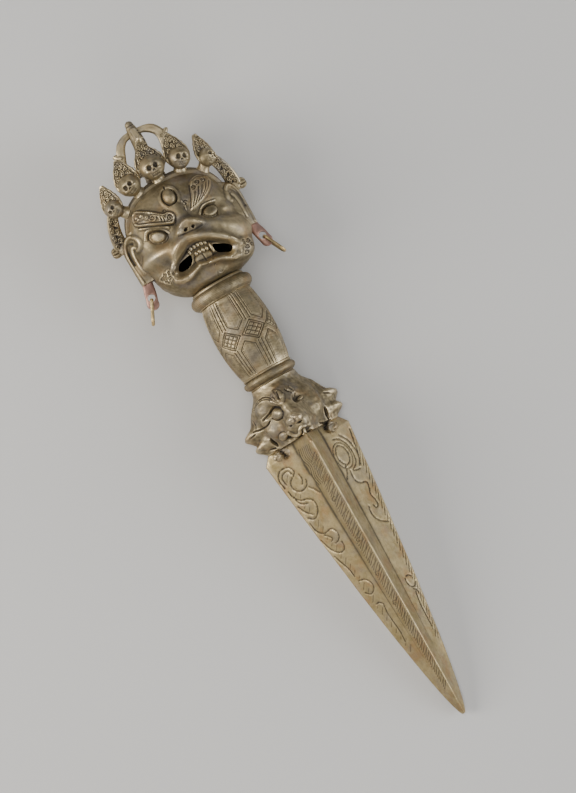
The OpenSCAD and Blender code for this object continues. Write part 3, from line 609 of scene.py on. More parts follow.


# How each of the record's slots is aged, and by what share its grime and painted shade darken it
FINISHES = {
    "cast_brass": {"rub": 0.37, "warmth": 0.32, "coolness": 0.5},
    "blade_brass": {"rub": 0.72, "warmth": 0.6, "coolness": 0.3, "grime_and_shade_share": 0.85, "worn": (0.50, 0.397, 0.215),
                    "patina": (0.29, 0.225, 0.105)},
    "turned_brass": {"rub": 0.46, "warmth": 0.30, "coolness": 0.3, "grime_and_shade_share": 0.8, "bump": 0.08},
    "inner_brass": {"rub": 0.2, "warmth": 0.2, "coolness": 0.3},
    "crown_brass": {"rub": 0.5, "warmth": 0.25, "coolness": 0.55, "grime_and_shade_share": 1.15},
    "finial_brass": {"rub": 0.28, "warmth": 0.25, "coolness": 0.6},
    "copper_lobe": {"rub": 0.6, "warmth": 0.15, "coolness": 0.2, "worn": "copper",
                    "patina": (0.33, 0.19, 0.15)},
    "wire_brass": {"rub": 0.9, "warmth": 0.3, "coolness": 0.0, "worn": "wire", "bump": 0.05},
}


def brass(name, rub, warmth, coolness, grime_and_shade_share=1.0, worn="worn", patina="patina", bump=0.12):
    """A material of aged brass. A colour is given by its values or by its name in the settings"""
    look = bpy.context.scene.dagger_finish
    material = bpy.data.materials.new(name)
    material.use_nodes = True
    tree = material.node_tree
    tree.nodes.clear()
    aged = node(tree, "ShaderNodeGroup", node_tree=bpy.data.node_groups.get("Aged brass") or patina_group())
    tints = {"Worn": worn, "Patina": patina, "Recess": "shade_and_grime", "Warm": "warm", "Cool": "cool"}
    for label, value in tints.items():
        aged.inputs[label].default_value = (*(getattr(look, value) if isinstance(value, str) else value), 1)
    for label, value in (("Rub", rub), ("Warmth", warmth), ("Coolness", coolness), ("Grime and shade", grime_and_shade_share)):
        aged.inputs[label].default_value = value
    relief = node(tree, "ShaderNodeBump", [
        ("Strength", bump), ("Distance", 0.0006), ("Height", aged.outputs["Height"])])
    shader = node(tree, "ShaderNodeBsdfPrincipled", [
        ("Base Color", aged.outputs["Color"]), ("Roughness", aged.outputs["Roughness"]),
        ("Metallic", aged.outputs["Metallic"]), ("Normal", relief.outputs[0])])
    node(tree, "ShaderNodeOutputMaterial", [("Surface", shader.outputs[0])])
    return material


def finish(slot):
    """The material of a slot"""
    name = "aged_" + slot
    return bpy.data.materials.get(name) or brass(name, **FINISHES[slot])


# Blade

def vane_at(z):
    """Reach of the blade's vanes at a height"""
    return 0.8 + 23.7 * (np.clip(z, 0, None) / Z_SHOULDER) ** 0.72


def valley_at(z):
    """Reach of the valleys between the vanes"""
    return np.minimum(0.47 * vane_at(z), 0.32 + 7.2 * (np.clip(z, 0, None) / Z_SHOULDER) ** 0.5)


SCROLLS_LEFT = [
    [(-20.6, 125), (-21.2, 129), (-19.5, 132.4), (-16.5, 133), (-14.3, 132), (-13.4, 129.6), (-14.6, 128)],
    [(-19.2, 126), (-19.6, 129.5), (-17.5, 131.2), (-15.6, 131), (-14.8, 129)],
    [(-15.4, 127.6), (-17.2, 126), (-17.6, 123.5), (-16.2, 121.2), (-13.8, 120.5), (-11.4, 121.8),
     (-10.6, 124)],
    [(-11, 120.5), (-9.4, 118.6), (-8, 116)], [(-12.2, 127.5), (-11.9, 125), (-13, 123)],
    [(-20, 123), (-19.2, 119.5), (-17, 117), (-14.5, 116.3), (-12.4, 114.6), (-12, 112), (-12.8, 109.4),
     (-14.4, 107.6), (-16.2, 107), (-18, 108.5)],
    [(-19, 120), (-18.5, 117), (-17, 115.2), (-15, 114.5)], [(-19.5, 115), (-17.9, 111.6), (-15.5, 109)],
    [(-18.6, 106), (-18.2, 103), (-17, 100.6), (-15.2, 99.2), (-13.4, 99.4), (-11.6, 99.6), (-10.2, 97.8),
     (-10.1, 95.4), (-11.2, 93.6), (-13, 93)],
    [(-15.6, 98.6), (-14, 97), (-13.2, 95.4), (-14.2, 94.6)],
    [(-10.3, 92.4), (-10.4, 90), (-11.4, 88.6), (-13.2, 88.4), (-15.2, 90), (-16.8, 93), (-18, 97)],
    [(-16.4, 88), (-15, 84), (-13.6, 80), (-13, 76)],
    [(-12.2, 73.4), (-9.8, 72.8), (-8.2, 70.6), (-8, 68), (-9.2, 66.2), (-10.8, 65.8), (-12.4, 67.4)],
    [(-10.6, 60.6), (-9.2, 60.7), (-8, 59.4)], [(-8, 59), (-8.4, 54), (-8, 50), (-7.6, 45), (-7.8, 40)],
]
SCROLLS_RIGHT = [
    [(8.5, 133.5), (11, 132.5), (13, 129), (13.6, 124), (12.8, 120), (10, 117.5)],
    [(12, 134), (14.5, 130), (15.4, 124), (14.8, 120.6), (13.4, 118)],
    [(14, 118), (15.4, 122.5), (16.4, 128), (17.5, 134)], [(5.5, 115), (7.2, 118), (8, 121)],
    [(10, 117.2), (11.6, 116.6), (13, 116.5)],
    [(8.7, 118), (8.4, 115), (8.7, 112.4), (10.2, 110.8), (12.5, 110), (12.2, 107), (11.4, 104.4),
     (12, 101), (11.8, 98.4), (10.6, 98), (10, 99.6)],
    [(8, 100), (7.5, 97.5), (7.8, 94.6), (9, 92.4), (10.6, 91), (12.4, 90)],
    [(7, 65), (8.2, 65), (9.2, 63.8)], [(6.2, 64.4), (6, 62.2), (6.8, 60), (8.2, 59.4), (9.5, 61)],
    [(7.2, 58.5), (8.2, 57.6), (8.5, 56)], [(7.5, 57), (6.7, 52), (6.4, 47), (6.2, 40)],
]


def blade_lines(left, right, front_left):
    """The engraving of the blade's faces: scrolls on the wide ones, a hatched band beside the ridge"""
    for line in SCROLLS_LEFT:
        left.line(line, 0.56, -0.36)
    for z in np.arange(36, 131, 3.4):
        reach = 18 * (z / 130) ** 0.72
        left.line([(-reach - 0.8, z - 1), (-reach + 0.9, z + 1.6)], 0.45, -0.1)
        right.line([(reach - 0.6, z + 2.2), (reach - 1.8, z - 0.6)], 0.45, -0.16)
        right.line([(reach - 0.2, z + 0.8), (reach - 1.2, z - 1.8)], 0.45, -0.14)
    for line in SCROLLS_RIGHT:
        right.line(line, 0.56, -0.36)
    right.ring((9.1, 125.5), (2.5, 4.6), 0.55, -0.32)
    right.ring((9.1, 125.2), (3.7, 6.2), 0.5, -0.26)
    for k, z in enumerate(np.arange(15, 132, 1.25)):
        wide = min(4.6, 2.4 + 0.025 * z)
        bend = 0.5 * math.sin(k * 2.1)
        front_left.line([(-0.7, z + 1.5), (-0.5 * wide, z + 0.2 + bend), (-wide, z - 1.8)], 0.42, -0.26)
    for k in range(7):
        x = -1.8 - 0.85 * k
        wave = [(x, 137), (x - 0.7, 132.5), (x + 0.5, 128), (x - 0.5, 123), (x + 0.3, 119)]
        front_left.line(wave, 0.45, -0.18)
    for x, z in ((-4, 110), (-3.5, 89), (-3.5, 72), (-3.2, 57)):
        front_left.curl((x, z), 1.3, 0.9, 60, 0.5, -0.3)


def blade_grid():
    """Rings of the plain blade from the point to the neck, and the count of points on each of six faces"""
    rows = np.concatenate([
        Z_SHOULDER * np.linspace(0, 1, 380) ** 1.1, np.linspace(Z_SHOULDER + 0.4, Z_NECK, 9)])
    per_face = 41
    s = np.linspace(0, 1, per_face, endpoint=False)
    from_tip = s ** 1.35
    from_valley = 1 - (1 - s) ** 1.35
    rings = []
    for z in rows:
        over = max(0.0, (z - Z_SHOULDER) / (Z_NECK - Z_SHOULDER))
        vane = vane_at(min(z, Z_SHOULDER)) * (1 - over) + NECK_VANE * over
        valley = valley_at(min(z, Z_SHOULDER)) * (1 - over) + NECK_VALLEY * over
        ring = []
        for k in range(6):
            down = k % 2 == 0
            t = from_tip if down else 1 - from_valley
            tip, low = math.radians(60 * (k if down else k + 1)), math.radians(60 * (k + 1 if down else k))
            side = 1 if down else -1
            along = np.array([math.sin(tip), -math.cos(tip)])
            beside = np.array([math.cos(tip), math.sin(tip)])
            foot = valley * np.array([math.sin(low), -math.cos(low)])
            reach, half = foot @ along, abs(foot @ beside)
            q = vane + (reach - vane) * t
            d = vane - q
            blunt = min(0.5, 0.05 * vane)
            w = np.sqrt((half * t) ** 2 + 2 * blunt * d * np.exp(-d / 1.1))
            ring.append(q[:, None] * along + side * w[:, None] * beside)
        ring = np.vstack(ring)
        rings.append(np.column_stack([ring, np.full(len(ring), z)]))
    return np.array(rings), per_face


def make_blade(sizes):
    grid, n = blade_grid()
    outward = normals_of(grid)
    height = np.zeros(grid.shape[:2])
    # Each face of the rear valley repeats the wide face that it becomes when the blade is turned by a third
    turns = {1: 0, 4: 0, 5: 0, 0: 0, 2: 120, 3: -120}
    drawn = {}
    for face, turn in turns.items():
        drawn[face] = Relief(*seen(turned_by(grid[:, face * n:(face + 1) * n], turn, "Z")))
    blade_lines(drawn[4], drawn[1], drawn[5])
    blade_lines(drawn[2], drawn[3], drawn[5])
    for face, relief in drawn.items():
        height[:, face * n:(face + 1) * n] = relief.height(sizes.carving)
    height += sizes.dents * lump(grid, 17, 3)
    edge = smooth((grid[..., 2] - 1) / 5)
    grid = grid + outward * (height * edge)[..., None]
    blade = solid("blade", *tube(above_floor(grid)))
    tang = [(TANG_R, Z_NECK - 1), (TANG_R, Z_PEEN), (6, Z_PEEN), (6, 227.6), (5.2, 228.1)]
    tang = solid("tang", *tube(turned(tang, 64)))
    combine(blade, [tang], "UNION")
    # deep=2.2 strengthens the painted shade that darkens the blade's broad hollows
    settle(blade, "blade_dressed", "blade", "blade_brass", soft=1.1, edge=0.35, deep=2.2)


# Makara socket

MAKARA = [
    # Brow arches and the crest between them
    ("ridge", [(-15.2, 160.6), (-12.5, 162.9), (-9, 163.2), (-6.4, 161.6)], 2.4, 1.0),
    ("line", [(-14.2, 162.4), (-12.2, 164.1), (-9.6, 164.9), (-7, 163.9), (-5.4, 161.4)], 0.5, -0.35),
    ("line", [(-14.6, 161.6), (-12.6, 163.1), (-9.8, 163.8), (-7.2, 162.8), (-5.8, 160.8)], 0.5, -0.35),
    ("line", [(2, 162.6), (3.2, 160.8), (3.6, 159)], 0.6, 0.7),
    ("line", [(3.4, 163.4), (4.2, 161.4), (4.4, 159.8)], 0.5, 0.5),
    ("line", [(1, 163.6), (2.2, 161.6)], 0.45, -0.4),
    ("patch", [(-5.4, 163.4), (-3.8, 165.2), (-1.8, 164.4), (-1, 161.6), (-3.1, 158.2),
               (-5, 161)], 0.9, 0.6),
    ("line", [(-3.9, 164.6), (-3.3, 160)], 0.7, 0.7), ("line", [(-4.9, 163), (-3.8, 160)], 0.45, -0.4),
    ("line", [(-2.4, 163.8), (-2.8, 160.4)], 0.5, -0.5),
    ("line", [(-6.2, 161.4), (-4.9, 159.5), (-3.1, 158), (-1.6, 159.6), (-0.6, 161.6)], 0.8, 0.6),
    # Eyes: a ball under the left brow, a hollow on the right
    ("dome", (-10.8, 158.4), (4.8, 3.2), -2.0, 12, True), ("dome", (-7.1, 155.5), (2.6, 2.5), 2.3),
    ("dome", (-9.6, 157.2), (1.6, 1.1), -0.8, 20, True),
    ("line", [(-13.6, 156.2), (-11, 157.8), (-9.2, 158.5), (-7, 158.7), (-5, 157.4)], 1.1, -1.0),
    ("line", [(-9.8, 154.8), (-8.4, 153), (-6.2, 152.8)], 0.7, -0.5),
    ("dome", (3.8, 157.8), (2.4, 2.8), -2.2, 0, True), ("dome", (5.5, 156.8), (0.9, 0.8), 0.9),
    # Snout
    ("ridge", [(-2.4, 157.6), (-1.8, 154.4), (-1.6, 151.6)], 2.4, 0.7),
    ("dome", (-1.6, 150), (4.8, 3.4), 1.5, 0, True), ("dome", (-3.3, 149.9), (1.8, 1.7), 0.9),
    ("dome", (0.3, 149.9), (1.6, 1.6), 0.8), ("dome", (-4.6, 147.9), (0.9, 0.6), -0.9),
    ("dome", (-0.4, 147.5), (1.5, 0.6), -1.1),
    # Left cheek, the cut under it and the plate of the jaw
    ("dome", (-14, 156), (5.5, 3.4), 0.7, 14, True),
    ("line", [(-20.6, 153.8), (-17, 153), (-13.8, 153.1), (-11.6, 154.2)], 0.7, -0.55),
    ("line", [(-18.4, 159), (-18, 156.4), (-18.8, 154.2)], 0.5, -0.35),
    ("patch", [(-22, 152), (-12, 151.6), (-11, 147.6), (-13.6, 145.4), (-20, 144.8),
               (-24.5, 145.2)], 0.5, 1.4),
    ("dome", (-9.7, 145.6), (2.0, 1.9), 1.1), ("dome", (-14.4, 145.2), (0.8, 2.7), -2.4, 12),
    ("dome", (-7.6, 143.6), (1.7, 1.5), -1.5, 0, True),
    # Lips
    ("line", [(-6.9, 145.8), (-5.7, 144.1), (-4, 142.9), (-2.7, 143.2), (-1.9, 144.5), (-0.5, 145.3),
              (0.9, 144.8)], 1.3, 0.8),
    ("line", [(-6.8, 143.4), (-5.2, 142.3), (-3.4, 141.8), (-1.7, 142.6), (-1.2, 143.6)], 0.6, -0.6),
    ("dome", (1.8, 142.7), (2.4, 2.1), -1.3, 0, True),
    # Right cheek with its slit
    ("dome", (9.6, 152), (6.6, 5.8), 0.8, -20, True), ("dome", (12, 145.2), (0.75, 3), -2.4, -12),
    # Edges of the fins
    ("line", [(-20.4, 155.8), (-23.6, 154.6), (-26.4, 153)], 0.6, -0.45),
    ("line", [(-20.4, 152.2), (-23.4, 151.6), (-25.6, 151.4)], 0.7, -0.5),
    ("line", [(15.4, 153.6), (17.4, 152.2), (18.8, 150.8)], 0.6, -0.4),
    ("line", [(16.4, 155.6), (18, 154.6)], 0.7, -0.5),
    ("line", [(-15.4, 142.6), (-18.4, 143), (-20, 141.6)], 0.8, -0.7),
    ("line", [(7.6, 142.6), (9.4, 141.8), (12, 141.6)], 0.8, -0.6),
]
# Centre and radius of the two knobs on the blade's shoulders
KNOBS = [((-16.4, 138.4), 2.9), ((11, 138.3), 2.7)]
# Turns from the front, in degrees, at which the socket's fins and knobs stand
FIN_TURN, KNOB_TURN = 106, 96.1


def socket_reach(h, a):
    """Reach of the socket at a height above the blade's neck and an angle from the front"""
    t = np.clip(h, 0, None) / SOCKET_H

    def falling(reach, start, swell_end, fall_start, fall, power):
        swell = (1 - start) * np.sin(np.pi / 2 * np.minimum(1, t / swell_end))
        drop = fall * (np.clip(t - fall_start, 0, None) / (1 - fall_start)) ** power
        return np.maximum(SOCKET_TOP_R, reach * (start + swell - drop))

    # Three lobes stand over the vanes, with a waist between them, and run into a round top
    lobe = falling(22.2, 0.9, 0.3, 0.34, 0.52, 1.4)
    waist = falling(12.2, 0.84, 0.35, 0.45, 0.25, 1.5)
    top = t ** 6
    share = ((1 + np.cos(np.radians(3 * a))) / 2) ** 3
    full = (waist + (lobe - waist) * share) * (1 - top) + SOCKET_TOP_R * top
    # Places on the skin are given by the arc from the front, on a circle of 18 mm, and the height
    arc_r = 18
    round_by = np.abs(a) * math.pi * arc_r / 180

    def hill(centre, size, out, turn=0):
        return out * np.exp(-elliptic(round_by, h, centre, size, turn))

    at_fin = math.radians(FIN_TURN) * arc_r
    relief = (hill((0, 9), (3.8, 4), 1.5) + hill((17, 15.5), (8, 6.4), 2.6)
              + hill((17, 7.4), (8.4, 4.4), 2.4, 16)
              + hill((7, 4.6), (5.6, 2), 1.2, -14) + hill((8, 20), (6, 3), 1.0, -18)
              + hill((0, 20), (3, 4.6), 0.9) + hill((at_fin - 3, 20), (9, 6), 2.2)
              + hill((at_fin, 11), (4.8, 2.6), 5.4, -24) + hill((at_fin, 4.3), (4, 2), 4.4, -24))
    full = full + relief * (1 - top)
    # Below the neck only a core is left, with a knob that curls over the blade's shoulder on each side
    core = 5.0
    at_knob = math.radians(KNOB_TURN) * arc_r
    knob = core + 11 * np.exp(-elliptic(round_by, h, (at_knob, -2.4), (3.6, 2.8)) ** 1.5)
    return np.maximum(np.where(h < 0, core, full), knob)


def make_socket(sizes):
    a = np.linspace(-180, 180, 400, endpoint=False)
    h = np.concatenate([np.linspace(-5.6, -0.2, 26), np.linspace(0, SOCKET_H, 138)])
    hh, aa = np.meshgrid(h, a, indexing="ij")
    r = socket_reach(hh, aa)
    grid = np.stack([r * np.sin(np.radians(aa)), -r * np.cos(np.radians(aa)), Z_NECK + hh], -1)
    outward = normals_of(grid)
    relief = Relief(*seen(grid))
    relief.draw(MAKARA)
    for centre, radius in KNOBS:
        relief.dome(centre, (radius, radius), 1.6)
        relief.ring(centre, (radius * 1.1, radius * 1.05), 0.8, -0.5)
        for k in range(4):
            x, z = centre[0] + 0.95 * k - 1.0, centre[1] + 0.1 * k
            bow = 2.0 - 0.22 * (k - 1) ** 2
            relief.line([(x - 0.5, z - bow), (x + 0.5, z), (x - 0.3, z + bow)], 0.5, -0.42)
    front = smooth((np.cos(np.radians(aa)) + 0.32) / 0.3)
    height = relief.height(1.3) * front
    # Mane locks on the back, which the photograph doesn't show
    lock = np.abs(np.sin(np.radians(aa * 7) + 0.9 * np.sin(hh * 0.42)))
    height += (1 - front) * (0.55 * lock - 0.35) * smooth((hh - 1) / 4)
    cast = sizes.dents * (1.8 * lump(grid, 9, 5) + 1.5 * lump(grid, 3.2, 6) + 0.4 * lump(grid, 1.6, 8))
    height = (height + cast) * smooth((SOCKET_H - hh) / 1.6)
    grid = grid + outward * height[..., None]
    grid[..., 2] = np.clip(grid[..., 2], Z_NECK - 5.8, Z_RING)
    socket = solid("socket", *tube(above_floor(grid, 0.15)))
    # The star of the three vanes is cut out of what reaches down over the blade
    star = []
    for z in [*Z_SHOULDER * np.linspace(0.85, 1, 12), Z_NECK]:
        reach = (NECK_VANE, NECK_VALLEY) if z == Z_NECK else (vane_at(z), valley_at(z))
        corners = [cos_sin(60 * k) for k in range(6)]
        star.append([(reach[k % 2] * s, -reach[k % 2] * c, z) for k, (c, s) in enumerate(corners)])
    cutter = solid("star", *tube(np.array(star)))
    bore = solid("bore", *tube(turned([(BORE, Z_NECK - 1), (BORE, Z_RING + 1)], 64)))
    combine(socket, [cutter, bore], "DIFFERENCE")
    settle(socket, "makara_carved", "makara_socket", "cast_brass", soft=1.8)


# Turned pieces

def arc(cx, cz, r, low, high, steps):
    """Points of a profile on a circle, between two angles in degrees"""
    a = np.radians(np.linspace(low, high, steps))
    return [(cx + r * math.cos(v), cz + r * math.sin(v)) for v in a]


def make_turned(sizes):
    ring = ([(BORE, Z_RING), (10.4, Z_RING), (10.9, Z_RING + 0.3), (10.6, Z_RING + 0.9)]
            + arc(11.06, 171.5, 1.74, -80, 80, 22)
            + [(11.8, 173.7), (11.9, 174.1), (11.5, Z_GRIP), (BORE, Z_GRIP)])
    collar = ([(BORE, Z_COLLAR), (12.7, Z_COLLAR), (13.2, Z_COLLAR + 0.3), (13.1, Z_COLLAR + 0.6)]
              + arc(11.93, 214.28, 3.07, -62, 66, 30)
              + [(12.7, 217.3), (12.75, 217.8), (12.3, Z_HEAD), (BORE, Z_HEAD)])
    for name, profile, dull in (("lower_ring", ring, -0.1), ("upper_collar", collar, 0.12)):
        grid = turned(resampled(profile, 0.35, closed=True), 300)
        away = np.linalg.norm(grid[..., :2], axis=-1)
        push = sizes.dents * 1.5 * lump(grid, 11, 7) * smooth((away - 9) / 2)
        # The turner's marks run round the bulge
        push += 0.035 * np.sin(grid[..., 2] * 9) * smooth((away - 12.4) / 0.5)
        grid[..., :2] *= (1 + push / np.maximum(away, 1))[..., None]
        piece = solid(name, *tube(grid, ends=False))
        settle(piece, name + "_turned", name, "turned_brass", dull=dull, calm=lambda points: 0.5)
    # The CAD's own solids show for the two pieces that hardly any light reaches
    for name, slot in (("tang_washer", "inner_brass"), ("topknot_cap", "cast_brass")):
        paint(frame["nodes"][name].data, slot)


# Grip

# The lattice is repeated round a circle, from a turn in degrees at which a diamond stands
LATTICE_R, LATTICE_COUNT, LATTICE_TURN = 14.4, 7, 36.5
PITCH = 2 * math.pi * LATTICE_R / LATTICE_COUNT
DIAMOND_Z, LATTICE_LOW, LATTICE_HIGH = 17.8, 0.2, 36.6


def grip_lines(relief):
    """The engraved lattice: u is the arc and v the height above the grip's foot"""
    def cut(points, width, height):
        relief.line(points, width, height, True)

    for u in PITCH * np.arange(-1, LATTICE_COUNT + 2):
        for gap in (0, 1.05):
            w, t = 6.0 - gap * 1.36, 4.6 - gap
            corners = ((0, t), (w, 0), (0, -t), (-w, 0), (0, t))
            cut([(u + x, DIAMOND_Z + z) for x, z in corners], 0.5, -0.34)
        # The middle of each diamond is woven of three strips each way
        w, t = 4.55, 3.5
        for share in (-0.36, 0.36):
            a, b = (share - 1) / 2, (share + 1) / 2
            for way in (1, -1):
                cut([(u + w * b, DIAMOND_Z + way * t * a), (u + w * a, DIAMOND_Z + way * t * b)], 0.42, -0.3)
        for side in (-1, 1):
            cut([(u + side * 1.0, 23.2), (u + side * 0.95, LATTICE_HIGH)], 0.5, -0.34)
            cut([(u + side * 0.85, 12.5), (u + side * 0.8, LATTICE_LOW)], 0.5, -0.32)
        # Arches stand between the diamonds, above and below, with a fainter line inside them
        mid = u + PITCH / 2
        for gap, deep in ((0, -0.3), (0.8, -0.12)):
            for w, end, bend, peak in ((4.15, LATTICE_HIGH, 24, 20.6 + gap * 1.2),
                                       (3.9, LATTICE_LOW, 11.8, 14.9 - gap * 1.2)):
                w -= gap
                arch = [(mid - w, end), (mid - w, bend), (mid, peak), (mid + w, bend), (mid + w, end)]
                cut(arch, 0.5, deep)


def make_grip(sizes):
    steps, wall, web = 132, 2.6, 4
    t = np.linspace(0, 1, steps)
    outer = np.stack([11.5 + 0.5 * t + 2.45 * np.sin(np.pi * t) ** 0.8, Z_GRIP + GRIP_H * t], 1)
    inside = outer[::-9] - (wall, 0)
    inside = inside[(inside[:, 1] > Z_GRIP + web) & (inside[:, 1] < Z_COLLAR - web)]
    profile = np.vstack([outer, [(BORE, Z_COLLAR), (BORE, Z_COLLAR - web)], inside,
                         [(BORE, Z_GRIP + web), (BORE, Z_GRIP)]])
    grid = turned(profile, 560)
    part = grid[:steps]
    round_by = np.degrees(np.arctan2(part[..., 0], -part[..., 1])) + LATTICE_TURN
    u = (round_by % 360) / 360 * LATTICE_COUNT * PITCH
    relief = Relief(u, part[..., 2] - Z_GRIP)
    grip_lines(relief)
    height = relief.height(sizes.carving)
    height += 0.03 * lump(part, 1.6, 9) + sizes.dents * lump(part, 12, 11)
    height *= smooth(np.minimum(t, 1 - t) / 0.012)[:, None]
    outward = part.copy()
    outward[..., 2] = 0
    outward /= np.linalg.norm(outward, axis=-1, keepdims=True)
    grid[:steps] = part + outward * height[..., None]
    grip = solid("grip", *tube(grid, ends=False))
    settle(grip, "grip_engraved", "grip", "turned_brass", edge=0.2)


# Head

